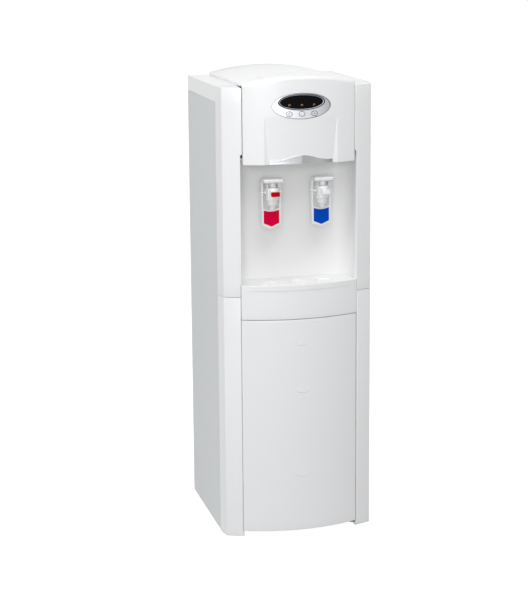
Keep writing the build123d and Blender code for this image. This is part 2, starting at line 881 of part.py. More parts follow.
# ------------------------------------------------------------------ taps
collar_radius = 15.4
collar_drop = 9.4  # foot of the collar below the tail's axis
collar_height = 28.9
barrel_radius = 11.8
barrel_length = 12.6
nozzle_radius = 5.8
nozzle_root_radius = 7.4
nozzle_length = 11.4
nozzle_bore = 3.6
stem_radius = 4.0
stem_clearance = 0.06
stem_rise = 6.0  # foot of the cap's stem above the tail's axis
tail_reach = 24.5  # end of the tail behind the alcove's wall
tail_bore = 5.0
tap_flange_radius = 14.5
tap_flange = 3.0
pivot_set_back = 11.0  # paddle's pivot behind the tap's axis
pivot_rise = 6.7
pivot_boss_radius = 5.0
pivot_boss_half = 17.0
peg_radius = 2.2
peg_clearance = 0.06
peg_reach = 11.0  # inner end of a peg from the tap's middle
arm_inner = 19.6
arm_outer = 24.0
paddle_thickness = 5.0
arm_rise = 24.7  # top of the arms above the pivot
arm_drop = 37.7  # upper edge of the paddle's plate below the pivot, at its ends
plate_dip = 4.0  # how far that edge is hollowed in the middle
plate_height = 41.0
plate_corner_half = 22.6
plate_point = 9.4
insert_half = 17.0
insert_inset = 4.0
insert_height = 31.5
insert_point = 8.0
insert_thickness = 1.8
insert_pocket = 0.8
cap_gap = 0.6  # between the paddle's arms and the cap
cap_height = 9.5
cap_half = 24.2
cap_reach = 20.5  # front of the cap ahead of the tap's axis
cap_depth = 36.0
cap_round = 3.0
cap_neck_radius = 8.5
cap_neck_gap = 0.7
tab_half = 9.9
tab_height = 10.3
tab_rise = 7.65  # middle of the tab above the tail's axis
tab_reach = 34.5  # face of the tab ahead of the tap's axis
tab_depth = 8.0
tab_boss_radius = 7.5
tab_boss_reach = 23.0
tab_stem_radius = 3.0
tab_stem_reach = 16.0  # rear end of the tab's stem ahead of the tap's axis
tab_bore_reach = 12.5
nut_radius = 15.0
nut_thickness = 8.0

collar_bottom = tap_tail_z - collar_drop
collar_top = collar_bottom + collar_height
barrel_bottom = collar_bottom - barrel_length
nozzle_bottom = barrel_bottom - nozzle_length
stem_bottom = tap_tail_z + stem_rise
tail_end_y = alcove_y + tail_reach
pivot_y = tap_y + pivot_set_back
pivot_z = tap_tail_z + pivot_rise
paddle_front = pivot_y - paddle_thickness / 2
paddle_top = pivot_z + arm_rise
plate_top = pivot_z - arm_drop
plate_corner_z = plate_top - plate_height
plate_tip_z = plate_corner_z - plate_point
insert_top = plate_top - insert_inset
insert_bottom = insert_top - insert_height
insert_tip = insert_bottom - insert_point
cap_bottom = paddle_top + cap_gap
cap_front_y = tap_y - cap_reach
cap_neck_bottom = collar_top + cap_neck_gap
tab_z = tap_tail_z + tab_rise
tab_low = tab_z - tab_height / 2
tab_front_y = tap_y - tab_reach
tab_back_y = tab_front_y + tab_depth
tab_boss_front_y = tap_y - tab_boss_reach
tab_stem_end_y = tap_y - tab_stem_reach
tab_bore_end_y = tap_y - tab_bore_reach


def rod(centre, radius, along_from, along_to, axis, mode=Mode.ADD):
    """A round rod along X or Y between two stations, in the open part."""
    x, y, z = centre
    if axis == "X":
        plane = Plane((along_from, y, z), x_dir=(0, 1, 0), z_dir=(1, 0, 0))
    else:
        plane = Plane((x, along_from, z), x_dir=(1, 0, 0), z_dir=(0, 1, 0))
    with BuildPart(mode=Mode.PRIVATE) as bar:
        with BuildSketch(plane):
            Circle(radius)
        extrude(amount=along_to - along_from)
    add(bar.part, mode=mode)


def plate_outline(half_top, half_low, top, dip, low, tip):
    """Outline in X and Z with a hollowed upper edge and a pointed lower edge."""
    with BuildSketch() as outline:
        with BuildLine():
            ThreePointArc((-half_top, top), (0, top - dip), (half_top, top))
            Polyline((half_top, top), (half_low, low), (0, tip), (-half_low, low), (-half_top, top))
        make_face()
    return outline.sketch


for side, x0 in (("hot", -tap_x), ("cold", tap_x)):
    with BuildPart() as tap_body:
        for radius, low, high in (
            (collar_radius, collar_bottom, collar_top),
            (barrel_radius, barrel_bottom, collar_bottom),
        ):
            with Locations((x0, tap_y, low)):
                Cylinder(radius, high - low, align=(Align.CENTER, Align.CENTER, Align.MIN))
        with Locations((x0, tap_y, nozzle_bottom)):
            Cone(
                nozzle_radius,
                nozzle_root_radius,
                barrel_bottom - nozzle_bottom,
                align=(Align.CENTER, Align.CENTER, Align.MIN),
            )
        rod((x0, 0, tap_tail_z), tap_tail_radius, tap_y, tail_end_y, "Y")
        flange_back = alcove_y - seat
        rod((x0, 0, tap_tail_z), tap_flange_radius, flange_back - tap_flange, flange_back, "Y")
        rod((0, pivot_y, pivot_z), pivot_boss_radius, x0 - pivot_boss_half, x0 + pivot_boss_half, "X")
        rod((x0, 0, tab_z), tab_boss_radius, tab_boss_front_y, tap_y, "Y")
        if side == "cold":
            with Locations((x0, tab_front_y, tab_low)):
                Box(
                    2 * tab_half,
                    tab_boss_front_y - tab_front_y,
                    tab_height,
                    align=(Align.CENTER, Align.MIN, Align.MIN),
                )
        else:
            bore = tab_stem_radius + stem_clearance
            rod((x0, 0, tab_z), bore, tab_boss_front_y - 1, tab_bore_end_y, "Y", Mode.SUBTRACT)
        with Locations((x0, tap_y, tap_tail_z)):
            Cylinder(
                stem_radius + stem_clearance,
                collar_top - tap_tail_z + 1,
                align=(Align.CENTER, Align.CENTER, Align.MIN),
                mode=Mode.SUBTRACT,
            )
        with Locations((x0, tap_y, nozzle_bottom - 1)):
            Cylinder(
                nozzle_bore,
                tap_tail_z - nozzle_bottom + 1,
                align=(Align.CENTER, Align.CENTER, Align.MIN),
                mode=Mode.SUBTRACT,
            )
        rod((x0, 0, tap_tail_z), tail_bore, tap_y, tail_end_y + 1, "Y", Mode.SUBTRACT)
        for way in (-1, 1):
            rod(
                (0, pivot_y, pivot_z),
                peg_radius + peg_clearance,
                x0 + way * (peg_reach - 1),
                x0 + way * (pivot_boss_half + 1),
                "X",
                Mode.SUBTRACT,
            )
    write(tap_body, f"{side}_tap_body")

    with BuildPart() as paddle:
        with BuildSketch(Plane.XZ.offset(-paddle_front)):
            with Locations((x0, 0)):
                add(
                    plate_outline(
                        arm_outer, plate_corner_half, plate_top, plate_dip, plate_corner_z, plate_tip_z
                    )
                )
            for way in (-1, 1):
                with Locations((x0 + way * (arm_inner + arm_outer) / 2, (plate_top + paddle_top) / 2 - 1)):
                    Rectangle(arm_outer - arm_inner, paddle_top - plate_top + 2)
        extrude(amount=-paddle_thickness)
        for way in (-1, 1):
            rod((0, pivot_y, pivot_z), peg_radius, x0 + way * peg_reach, x0 + way * (arm_inner + 1), "X")
        with BuildSketch(Plane.XZ.offset(-paddle_front)):
            with Locations((x0, 0)):
                add(
                    plate_outline(
                        insert_half + seat,
                        insert_half + seat,
                        insert_top + seat,
                        plate_dip,
                        insert_bottom - seat,
                        insert_tip - seat,
                    )
                )
        extrude(amount=-insert_pocket, mode=Mode.SUBTRACT)
    write(paddle, f"{side}_paddle")

    with BuildPart() as insert:
        with BuildSketch(Plane.XZ.offset(-paddle_front - insert_pocket + seat)):
            with Locations((x0, 0)):
                add(
                    plate_outline(
                        insert_half, insert_half, insert_top, plate_dip, insert_bottom, insert_tip
                    )
                )
        extrude(amount=insert_thickness)
    write(insert, f"{side}_paddle_insert")

    with BuildPart() as tap_cap:
        with BuildSketch(Plane.XY.offset(cap_bottom)):
            with Locations((x0, cap_front_y + cap_depth / 2)):
                RectangleRounded(2 * cap_half, cap_depth, 2 * cap_round)
        extrude(amount=cap_height)
        fillet(tap_cap.edges().group_by(Axis.Z)[-1], cap_round)
        for radius, low in ((cap_neck_radius, cap_neck_bottom), (stem_radius, stem_bottom)):
            with Locations((x0, tap_y, low)):
                Cylinder(
                    radius,
                    cap_bottom - low + 1,
                    align=(Align.CENTER, Align.CENTER, Align.MIN),
                )
    write(tap_cap, f"{side}_tap_cap")

with BuildPart() as hot_safety_tab:
    with Locations((-tap_x, tab_front_y, tab_low)):
        Box(
            2 * tab_half,
            tab_depth,
            tab_height,
            align=(Align.CENTER, Align.MIN, Align.MIN),
        )
    fillet(hot_safety_tab.edges().group_by(Axis.Y)[0], 1.0)
    rod((-tap_x, 0, tab_z), tab_stem_radius, tab_back_y - 1, tab_stem_end_y, "Y")

nut_front = alcove_y + liner + seat
with BuildPart() as tap_nuts:
    with BuildSketch(Plane.XZ.offset(-nut_front)):
        with Locations((-tap_x, tap_tail_z), (tap_x, tap_tail_z)):
            RegularPolygon(nut_radius, 6)
            Circle(tap_tail_radius + stem_clearance, mode=Mode.SUBTRACT)
    extrude(amount=-nut_thickness)

write(hot_safety_tab, "hot_safety_tab")
write(tap_nuts, "tap_nuts")

# ------------------------------------------------------------------ base, shelves and back
base_sheet = 1.5
base_side_inset = 9.0  # base and shelf beside the pillars
foot_side_inset = 37.0
foot_rear_inset = 31.5
foot_pad_radius = 17.0
foot_pad = 6.0
foot_stem_radius = 4.0
shelf_set_back = 3.0  # front of the mid shelf behind the base plate's
shelf_lip = 12.0
hose_hole = 7.0
back_recess = 36.5  # front face of the back panel, ahead of the cabinet's back
tank_shelf_drop = 56.0  # tank shelf below the taps' tails
tank_shelf_rear_gap = 19.0
tank_shelf_front_gap = 8.5
louvre_width = 84.0
louvre_height = 5.0
louvre_pitch = 13.0
louvre_rows = 5
louvre_rise = 16.0  # lowest louvre above the mid shelf
louvre_x = (-110.0, -14.0)

inner_half = half_width - sheet - seat
base_front_half = half_width - base_side_inset
base_back = y_back - sheet - seat
back_panel_y = y_back - back_recess
foot_x = half_width - foot_side_inset
foot_y = y_back - foot_rear_inset
shelf_front = base_front + shelf_set_back
tank_shelf_z = tap_tail_z - tank_shelf_drop
tank_shelf_back = back_panel_y - tank_shelf_rear_gap
tank_shelf_front = alcove_y + tank_shelf_front_gap
louvre_low = shelf_z + louvre_rise


def folded(points, thickness):
    """Edges of a plan outline: an open path of sheet thickened to its left, with mitred corners."""
    normals = []
    for (x0, y0), (x1, y1) in zip(points, points[1:]):
        length = hypot(x1 - x0, y1 - y0)
        normals.append(((y0 - y1) / length, (x1 - x0) / length))
    moved = []
    for i, (x, y) in enumerate(points):
        ax, ay = normals[max(i - 1, 0)]
        bx, by = normals[min(i, len(normals) - 1)]
        scale = thickness / (1 + ax * bx + ay * by)
        moved.append((x + scale * (ax + bx), y + scale * (ay + by)))
    with BuildLine() as outline:
        Polyline(*points, *reversed(moved), close=True)
    return outline.edges()


with BuildPart() as base_plate:
    with BuildSketch(Plane.XY.offset(base_top - base_sheet)):
        with Locations((0, base_front)):
            Rectangle(
                2 * base_front_half, base_back - base_front, align=(Align.CENTER, Align.MIN)
            )
        with Locations((0, tongue_back + seat)):
            Rectangle(
                2 * inner_half, base_back - tongue_back - seat, align=(Align.CENTER, Align.MIN)
            )
    extrude(amount=base_sheet)
    with BuildSketch(Plane.XY.offset(base_flange_bottom)):
        with Locations((0, base_front)):
            Rectangle(2 * base_front_half, base_sheet, align=(Align.CENTER, Align.MIN))
        with Locations((0, base_back)):
            Rectangle(2 * inner_half, base_sheet, align=(Align.CENTER, Align.MAX))
        for way, align in ((-1, Align.MIN), (1, Align.MAX)):
            with Locations((way * inner_half, tongue_back + seat)):
                Rectangle(
                    base_sheet, base_back - tongue_back - seat, align=(align, Align.MIN)
                )
    extrude(amount=base_top - base_flange_bottom)

with BuildPart() as rear_feet:
    for way in (-1, 1):
        for radius, low, high in (
            (foot_pad_radius, 0, foot_pad),
            (foot_stem_radius, foot_pad, base_top - base_sheet - seat),
        ):
            with Locations((way * foot_x, foot_y, low)):
                Cylinder(radius, high - low, align=(Align.CENTER, Align.CENTER, Align.MIN))

# where the tanks, the compressor, the pump, the hoses and the pipes stand
hot_jacket_outer = 70.0
hot_side_gap = 27.0  # hot jacket beside the side panel
cold_side_gap = 7.0
tank_gap = 16.0  # between the two jackets
tank_forward = 3.5  # tanks ahead of the middle between the taps' tails and the back panel
feed_offset = 18.0  # the hot tank's feed beside the cold tank's axis
feed_set_back = 20.0
bay_rear_gap = 26.0  # bottle bay's rear wall ahead of the back panel
suction_inset = 27.0
suction_drop = 14.0  # suction hose below the mid shelf
compressor_side_gap = 27.0
compressor_rear_gap = 12.0
compressor_radius = 72.0
terminal_overlap = 5.0
terminal_depth = 18.0
pump_side_gap = 63.0
pump_head_radius = 29.0
pump_y = -15.0
pipe_left_inset = 27.0
pipe_far_left_inset = 13.5
pipe_rear_gap = 11.0
condenser_set_back = 15.0
condenser_drop = 110.0  # lowest run below the tank shelf
condenser_pitch = 36.0
condenser_runs = 10

hot_x = hot_side_gap + hot_jacket_outer - half_width
cold_left = hot_x + hot_jacket_outer + tank_gap
cold_right = half_width - cold_side_gap
cold_x = (cold_left + cold_right) / 2
cold_jacket_outer = (cold_right - cold_left) / 2
gap_pipe_x = cold_left - tank_gap / 2
tank_y = (tail_end_y + back_panel_y) / 2 - tank_forward
feed_x = cold_x - feed_offset
feed_y = tank_y + feed_set_back
bay_rear_y = back_panel_y - bay_rear_gap
pipe_left_x = pipe_left_inset - half_width
pipe_far_left_x = pipe_far_left_inset - half_width
pipe_back_y = back_panel_y - pipe_rear_gap
compressor_x = compressor_side_gap + compressor_radius - half_width
compressor_y = pipe_back_y - compressor_rear_gap - compressor_radius
terminal_x = compressor_x + compressor_radius - terminal_overlap
pump_x = half_width - pump_side_gap - pump_head_radius
pump_face_x = pump_x - pump_head_radius
suction_x = (2 * (terminal_x + terminal_depth) + pump_face_x) / 3
suction_y = bay_rear_y - suction_inset
suction_z = shelf_z - suction_drop
condenser_y = back_panel_y + condenser_set_back
condenser_low = tank_shelf_z - condenser_drop
condenser_high = condenser_low + (condenser_runs - 1) * condenser_pitch

with BuildPart() as mid_shelf:
    with BuildSketch(Plane.XY.offset(shelf_z)):
        with Locations((0, shelf_front)):
            Rectangle(
                2 * base_front_half,
                back_panel_y - seat - shelf_front,
                align=(Align.CENTER, Align.MIN),
            )
        with Locations((0, tongue_back + seat)):
            Rectangle(
                2 * inner_half,
                back_panel_y - tongue_back - 2 * seat,
                align=(Align.CENTER, Align.MIN),
            )
        with Locations((suction_x, suction_y)):
            Circle(hose_hole, mode=Mode.SUBTRACT)
    extrude(amount=shelf_sheet)
    with Locations((0, shelf_front, shelf_z)):
        Box(
            2 * alcove_half,
            shelf_sheet,
            shelf_lip,
            align=(Align.CENTER, Align.MIN, Align.MAX),
        )

with BuildPart() as tank_shelf:
    with BuildSketch(Plane.XY.offset(tank_shelf_z)):
        with Locations((0, tank_shelf_front)):
            Rectangle(
                2 * inner_half,
                tank_shelf_back - tank_shelf_front,
                align=(Align.CENTER, Align.MIN),
            )
        with Locations((cold_x, tank_y), (feed_x, feed_y), (hot_x, tank_y), (gap_pipe_x, tank_y)):
            Circle(hose_hole, mode=Mode.SUBTRACT)
    extrude(amount=shelf_sheet)
    with Locations((0, tank_shelf_front, tank_shelf_z)):
        Box(
            2 * inner_half,
            shelf_sheet,
            shelf_lip,
            align=(Align.CENTER, Align.MIN, Align.MAX),
        )

switch_inset = 67.0  # middle of the switch plate inside the cabinet's side
switch_rise = 44.0
switch_plate_width = 92.0
switch_plate_height = 58.0
switch_plate = 2.0
switch_cut_clearance = 1.5
rocker_spacing = 30.0
rocker_offset = 14.0  # middle of the two rockers beside the plate's middle
rocker_half_width = 6.0
rocker_half_height = 9.6
rocker_clearance = 0.6
rocker_tilt = 7.0
rocker_crest = 3.0
rocker_depth = 7.0
rocker_peg_radius = 1.2
rocker_peg_clearance = 0.05
rocker_pivot_inset = 3.0  # pivot in front of the plate's rear face
housing_wall = 1.5
housing_depth = 20.0
gland_offset = 36.0
gland_radius = 6.5
gland_length = 14.0
gland_bore = 3.6

switch_x = half_width - switch_inset
switch_z = shelf_z + switch_rise
rocker_x = switch_x - rocker_offset
gland_x = switch_x + gland_offset
housing_half_width = rocker_half_width + rocker_clearance + housing_wall
housing_half_height = rocker_half_height + rocker_clearance + housing_wall

with BuildPart() as back_panel:
    with BuildSketch(Plane.XY.offset(base_top + seat)):
        make_face(
            folded(
                [
                    (-inner_half, base_back),
                    (-inner_half, back_panel_y),
                    (inner_half, back_panel_y),
                    (inner_half, base_back),
                ],
                sheet,
            )
        )
    extrude(amount=skirt_bottom - base_top - 2 * seat)
    with Locations((0, back_panel_y, skirt_bottom - seat)):
        Box(
            2 * inner_half,
            base_back - back_panel_y,
            sheet,
            align=(Align.CENTER, Align.MIN, Align.MAX),
        )
    with BuildSketch(Plane.XZ.offset(-back_panel_y + 1)):
        for x in louvre_x:
            with Locations((x, louvre_low + (louvre_rows - 1) / 2 * louvre_pitch)):
                with GridLocations(0, louvre_pitch, 1, louvre_rows):
                    SlotOverall(louvre_width, louvre_height)
        with Locations((rocker_x, switch_z)):
            Rectangle(
                rocker_spacing + 2 * (housing_half_width + switch_cut_clearance),
                2 * (housing_half_height + switch_cut_clearance),
            )
        with Locations((gland_x, switch_z)):
            Circle(gland_bore)
        with Locations((pipe_left_x, condenser_high), (pipe_far_left_x, condenser_low)):
            Circle(hose_hole)
    extrude(amount=-sheet - 2, mode=Mode.SUBTRACT)

write(base_plate, "base_plate")
write(rear_feet, "rear_feet")
write(mid_shelf, "mid_shelf")
write(tank_shelf, "tank_shelf")
write(back_panel, "back_panel")

# ------------------------------------------------------------------ rear switches and cable gland
plate_front_y = back_panel_y + sheet + seat
plate_rear_y = plate_front_y + switch_plate
rocker_pivot_y = plate_rear_y - rocker_pivot_inset
rocker_xs = (rocker_x - rocker_spacing / 2, rocker_x + rocker_spacing / 2)

with BuildPart() as switch_plate_part:
    with Locations((switch_x, plate_front_y, switch_z)):
        Box(
            switch_plate_width,
            switch_plate,
            switch_plate_height,
            align=(Align.CENTER, Align.MIN, Align.CENTER),
        )
    fillet(switch_plate_part.edges().filter_by(Axis.Y), 2 * rocker_crest)
    for x in rocker_xs:
        with Locations((x, plate_rear_y, switch_z)):
            Box(
                2 * housing_half_width,
                housing_depth,
                2 * housing_half_height,
                align=(Align.CENTER, Align.MAX, Align.CENTER),
            )
            Box(
                2 * (rocker_half_width + rocker_clearance),
                housing_depth - housing_wall,
                2 * (rocker_half_height + rocker_clearance),
                align=(Align.CENTER, Align.MAX, Align.CENTER),
                mode=Mode.SUBTRACT,
            )
        rod(
            (0, rocker_pivot_y, switch_z),
            rocker_peg_radius + rocker_peg_clearance,
            x - housing_half_width - 1,
            x + housing_half_width + 1,
            "X",
            Mode.SUBTRACT,
        )
    rod((gland_x, 0, switch_z), gland_radius, plate_front_y, plate_rear_y + gland_length, "Y")
    rod(
        (gland_x, 0, switch_z),
        gland_bore,
        plate_front_y - 1,
        plate_rear_y + gland_length + 1,
        "Y",
        Mode.SUBTRACT,
    )
write(switch_plate_part, "switch_plate")

for side, x in (("hot", rocker_xs[0]), ("cold", rocker_xs[1])):
    pivot = Plane(
        (x, rocker_pivot_y, switch_z),
        x_dir=(0, cos(radians(rocker_tilt)), sin(radians(rocker_tilt))),
        z_dir=(1, 0, 0),
    )
    with BuildPart() as rocker:
        with BuildSketch(pivot.offset(-rocker_half_width)):
            with BuildLine():
                Polyline(
                    (-rocker_depth, -rocker_half_height + 2),
                    (rocker_pivot_inset + rocker_crest, -rocker_half_height),
                    (rocker_pivot_inset, 0),
                    (rocker_pivot_inset + rocker_crest, rocker_half_height),
                    (-rocker_depth, rocker_half_height - 2),
                    close=True,
                )
            make_face()
        extrude(amount=2 * rocker_half_width)
        peg_end = rocker_half_width + rocker_clearance + housing_wall - 0.2
        rod((0, rocker_pivot_y, switch_z), rocker_peg_radius, x - peg_end, x + peg_end, "X")
    write(rocker, f"{side}_rocker")

# ------------------------------------------------------------------ bottle bay
bay_side_inset = 9.0
bay_lip_gap = 3.2  # front lip of the bay behind the pillars
bay_lip_depth = 17.6
bottle_radius = 135.0  # standard 18.9 litre bottle
bottle_gap = 2.0
tray_side_gap = 10.0
tray_set_back = 7.6
tray_thickness = 2.5
tray_ring_radius = 124.0
tray_ring_width = 4.0
tray_ring_height = 4.0
probe_side_gap = 32.0
probe_rear_gap = 33.0
probe_radius = 7.0
probe_length = 441.0
probe_cap_radius = 30.0
probe_cap_height = 22.0
probe_cap_drop = 33.0  # top of the cap below the mid shelf
probe_bore = 3.5
holder_gap = 1.0
holder_radius = 24.0
holder_thickness = 4.0

bay_side = half_width - bay_side_inset
bay_lip_y = pillar_back + bay_lip_gap
bay_lip_end_y = bay_lip_y + bay_lip_depth
bottle_y = bay_rear_y - liner - bottle_gap - bottle_radius
tray_half = bay_side - tray_side_gap
tray_front = bay_lip_y + tray_set_back
probe_x = probe_side_gap - bay_side
probe_y = bay_rear_y - probe_rear_gap
probe_cap_top = shelf_z - probe_cap_drop
probe_cap_bottom = probe_cap_top - probe_cap_height
probe_bottom = probe_cap_bottom - probe_length

with BuildPart() as bottle_bay_liner:
    with BuildSketch(Plane.XY.offset(base_top + seat)):
        make_face(
            folded(
                [
                    (bay_half + seat, bay_lip_y),
                    (bay_side, bay_lip_end_y),
                    (bay_side, bay_rear_y),
                    (-bay_side, bay_rear_y),
                    (-bay_side, bay_lip_end_y),
                    (-bay_half - seat, bay_lip_y),
                ],
                -liner,
            )
        )
    extrude(amount=shelf_z - base_top - 2 * seat)
    # moulded shelf that the resting probe hangs from
    with BuildSketch(Plane.XY.offset(probe_cap_bottom - seat - holder_thickness)):
        with Locations((probe_x, probe_y)):
            Circle(holder_radius)
        with Locations((-bay_side - 1, bay_rear_y + 1)):
            Rectangle(
                probe_x + bay_side + 1, bay_rear_y - probe_y + 1, align=(Align.MIN, Align.MAX)
            )
        with Locations((probe_x, probe_y)):
            Circle(probe_radius + holder_gap, mode=Mode.SUBTRACT)
    extrude(amount=holder_thickness)

lip_slope = (bay_lip_end_y - bay_lip_y) / (bay_side - bay_half - seat)
lip_depth = liner * hypot(1, lip_slope) + seat


def lip_y(x):
    """Y just behind the liner's slanted front lip at x."""
    return bay_lip_y + (x - bay_half - seat) * lip_slope + lip_depth


with BuildPart() as bottle_tray:
    with BuildSketch(Plane.XY.offset(base_top + seat)):
        tray_back = bay_rear_y - liner - seat
        tray_corner = bay_half + seat + (tray_front - bay_lip_y - lip_depth) / lip_slope
        with BuildLine():
            Polyline(
                (-tray_half, tray_back),
                (-tray_half, lip_y(tray_half)),
                (-tray_corner, tray_front),
                (tray_corner, tray_front),
                (tray_half, lip_y(tray_half)),
                (tray_half, tray_back),
                close=True,
            )
        make_face()
    extrude(amount=tray_thickness)
    with BuildSketch(Plane.XY.offset(base_top + seat + tray_thickness)):
        with Locations((0, bottle_y)):
            Circle(tray_ring_radius + tray_ring_width)
            Circle(tray_ring_radius, mode=Mode.SUBTRACT)
            Rectangle(
                2 * bottle_radius, bottle_radius, align=(Align.CENTER, Align.MAX), mode=Mode.SUBTRACT
            )
    extrude(amount=tray_ring_height)

with BuildPart() as suction_probe:
    for radius, low, high in (
        (probe_radius, probe_bottom, probe_cap_bottom),
        (probe_cap_radius, probe_cap_bottom, probe_cap_top),
    ):
        with Locations((probe_x, probe_y, low)):
            Cylinder(radius, high - low, align=(Align.CENTER, Align.CENTER, Align.MIN))
    fillet(suction_probe.edges().group_by(Axis.Z)[-1], holder_thickness)
    with Locations((probe_x, probe_y, probe_bottom - 1)):
        Cylinder(
            probe_bore,
            probe_cap_top - probe_bottom + 2,
            align=(Align.CENTER, Align.CENTER, Align.MIN),
            mode=Mode.SUBTRACT,
        )

write(bottle_bay_liner, "bottle_bay_liner")
write(bottle_tray, "bottle_tray")
write(suction_probe, "suction_probe")

# ------------------------------------------------------------------ tanks and cooling set
tank_floor = 20.2  # foam under the tanks
cold_tank_gap = 7.4  # room for the coil between the cold tank and its jacket
cold_tank_height = 190.0
hot_tank_height = 180.0
tank_dome = 10.0
tank_wall = 0.8
tank_port = 3.5
coil_tube = 3.0
coil_gap = 0.4  # between the coil and the cold tank
coil_pitch = 14.0
coil_turns = 8.5
coil_rise = 60.0  # start of the coil above the tank's bottom
cold_foam = 13.0
hot_foam = 19.0
hot_tank_gap = 1.0
jacket_height = 222.0
compressor_rise = 11.5  # sump of the compressor above the mid shelf
compressor_height = 162.0
compressor_dome = 35.0
compressor_sump = 22.0
compressor_foot_rise = 1.0
can_wall = 3.0
motor_radius = 42.0
motor_height = 90.0
suction_port_offset = 46.0
suction_port_forward = 12.0
pipe_bore = 2.0
compressor_foot = 3.0
compressor_foot_x = 130.0
compressor_foot_y = 104.0
mount_radius = 9.0
mount_spacing_x = 104.0
mount_spacing_y = 80.0
terminal_rise = 49.0
terminal_width = 40.0
terminal_height = 36.0
pump_radius = 25.0
pump_height = 58.0
pump_head = 22.0
hose_radius = 4.5
pipe_radius = 3.0
condenser_inset = 47.0
condenser_tube = 2.4
wire_radius = 0.8
wire_count = 28
wire_gap = 0.05
board_x = 65.0
board_drop = 70.0  # middle of the power board below the tank shelf
board_width = 90.0
board_height = 76.0
board_gap = 8.0
board_post_inset = 6.0
relay = (22.0, 18.0, 28.0)  # width, depth and height
transformer = (30.0, 26.0, 26.0)
fuse_block = (18.0, 16.0, 20.0)
relay_at = (-28.0, 18.0)  # beside and above the board's middle
transformer_at = (6.0, 16.0)
fuse_block_at = (22.0, -20.0)

jacket_bottom = tank_shelf_z + shelf_sheet + seat
jacket_top = jacket_bottom + jacket_height
tank_bottom = jacket_bottom + tank_floor
cold_jacket_inner = cold_jacket_outer - cold_foam
cold_tank_radius = cold_jacket_inner - cold_tank_gap
hot_jacket_inner = hot_jacket_outer - hot_foam
hot_tank_radius = hot_jacket_inner - hot_tank_gap
coil_radius = cold_tank_radius + coil_gap + coil_tube
coil_low = tank_bottom + coil_rise
compressor_low = shelf_z + shelf_sheet + compressor_rise
compressor_high = compressor_low + compressor_height
compressor_foot_z = compressor_low + compressor_foot_rise
suction_port_x = compressor_x + suction_port_offset
suction_port_y = compressor_y - suction_port_forward
terminal_low = compressor_low + terminal_rise
condenser_half = half_width - condenser_inset
board_z = tank_shelf_z - board_drop
board_front_y = back_panel_y - board_gap


def can(x, y, low, high, radius, top_round, foot_round):
    """A closed upright can with rounded ends."""
    with BuildPart() as body:
        with Locations((x, y, low)):
            Cylinder(radius, high - low, align=(Align.CENTER, Align.CENTER, Align.MIN))
        fillet(body.edges().group_by(Axis.Z)[-1], top_round)
        fillet(body.edges().group_by(Axis.Z)[0], foot_round)
    return body.part


for side, x, radius, height in (
    ("cold", cold_x, cold_tank_radius, cold_tank_height),
    ("hot", hot_x, hot_tank_radius, hot_tank_height),
):
    inner_dome = tank_dome - tank_wall
    hollow = can(
        x,
        tank_y,
        tank_bottom + tank_wall,
        tank_bottom + height - tank_wall,
        radius - tank_wall,
        inner_dome,
        inner_dome,
    )
    with BuildPart() as tank:
        add(can(x, tank_y, tank_bottom, tank_bottom + height, radius, tank_dome, tank_dome))
        add(hollow, mode=Mode.SUBTRACT)
        with Locations((x, tank_y, tank_bottom)):
            Cylinder(tank_port, 4 * tank_wall, mode=Mode.SUBTRACT)
    write(tank, f"{side}_tank")

for side, x, inner, outer in (
    ("cold", cold_x, cold_jacket_inner, cold_jacket_outer),
    ("hot", hot_x, hot_jacket_inner, hot_jacket_outer),
):
    with BuildPart() as jacket:
        with Locations((x, tank_y, jacket_bottom)):
            Cylinder(outer, jacket_height, align=(Align.CENTER, Align.CENTER, Align.MIN))
        with Locations((x, tank_y, tank_bottom - seat)):
            Cylinder(
                inner,
                jacket_height,
                align=(Align.CENTER, Align.CENTER, Align.MIN),
                mode=Mode.SUBTRACT,
            )
        with Locations((x, tank_y, jacket_bottom - 1)):
            Cylinder(
                hose_hole,
                tank_bottom - jacket_bottom + 2,
                align=(Align.CENTER, Align.CENTER, Align.MIN),
                mode=Mode.SUBTRACT,
            )
        if side == "cold":
            with Locations((feed_x, feed_y, jacket_bottom - 1)):
                Cylinder(
                    hose_hole,
                    tank_bottom - jacket_bottom + 2,
                    align=(Align.CENTER, Align.CENTER, Align.MIN),
                    mode=Mode.SUBTRACT,
                )
            rod((tap_x, 0, tap_tail_z), hose_hole, tank_y - outer, tank_y, "Y", Mode.SUBTRACT)
            rod((0, tank_y, coil_low), hose_hole, x - outer - 1, x - inner + 1, "X", Mode.SUBTRACT)
    write(jacket, f"{side}_tank_jacket")


def coil_point(turn):
    """Point and unit tangent of the coil's centre line after a number of turns."""
    angle = pi + 2 * pi * turn
    point = Vector(
        cold_x + coil_radius * cos(angle),
        tank_y + coil_radius * sin(angle),
        coil_low + coil_pitch * turn,
    )
    climb = coil_pitch / (2 * pi)
    return point, Vector(-coil_radius * sin(angle), coil_radius * cos(angle), climb).normalized()


with BuildPart() as evaporator_coil:
    with BuildLine() as coil_line:
        # each quarter turn is two arcs that share a tangent halfway
        for i in range(round(4 * coil_turns)):
            start, start_way = coil_point(i / 4)
            end, end_way = coil_point((i + 1) / 4)
            both = start_way + end_way
            chord = end - start
            spread = 2 * (1 - start_way.dot(end_way))
            reach = chord.dot(both)
            handle = (sqrt(reach**2 + spread * chord.dot(chord)) - reach) / spread
            near = start + start_way * handle
            far = end - end_way * handle
            middle = (near + far) * 0.5
            TangentArc(start, middle, tangent=start_way)
            TangentArc(middle, end, tangent=far - near)
    with BuildSketch(Plane(coil_line.line @ 0, z_dir=coil_line.line % 0)):
        Circle(coil_tube)
    sweep()
print("gap between the coil's turns:", round(coil_pitch - 2 * coil_tube, 2))

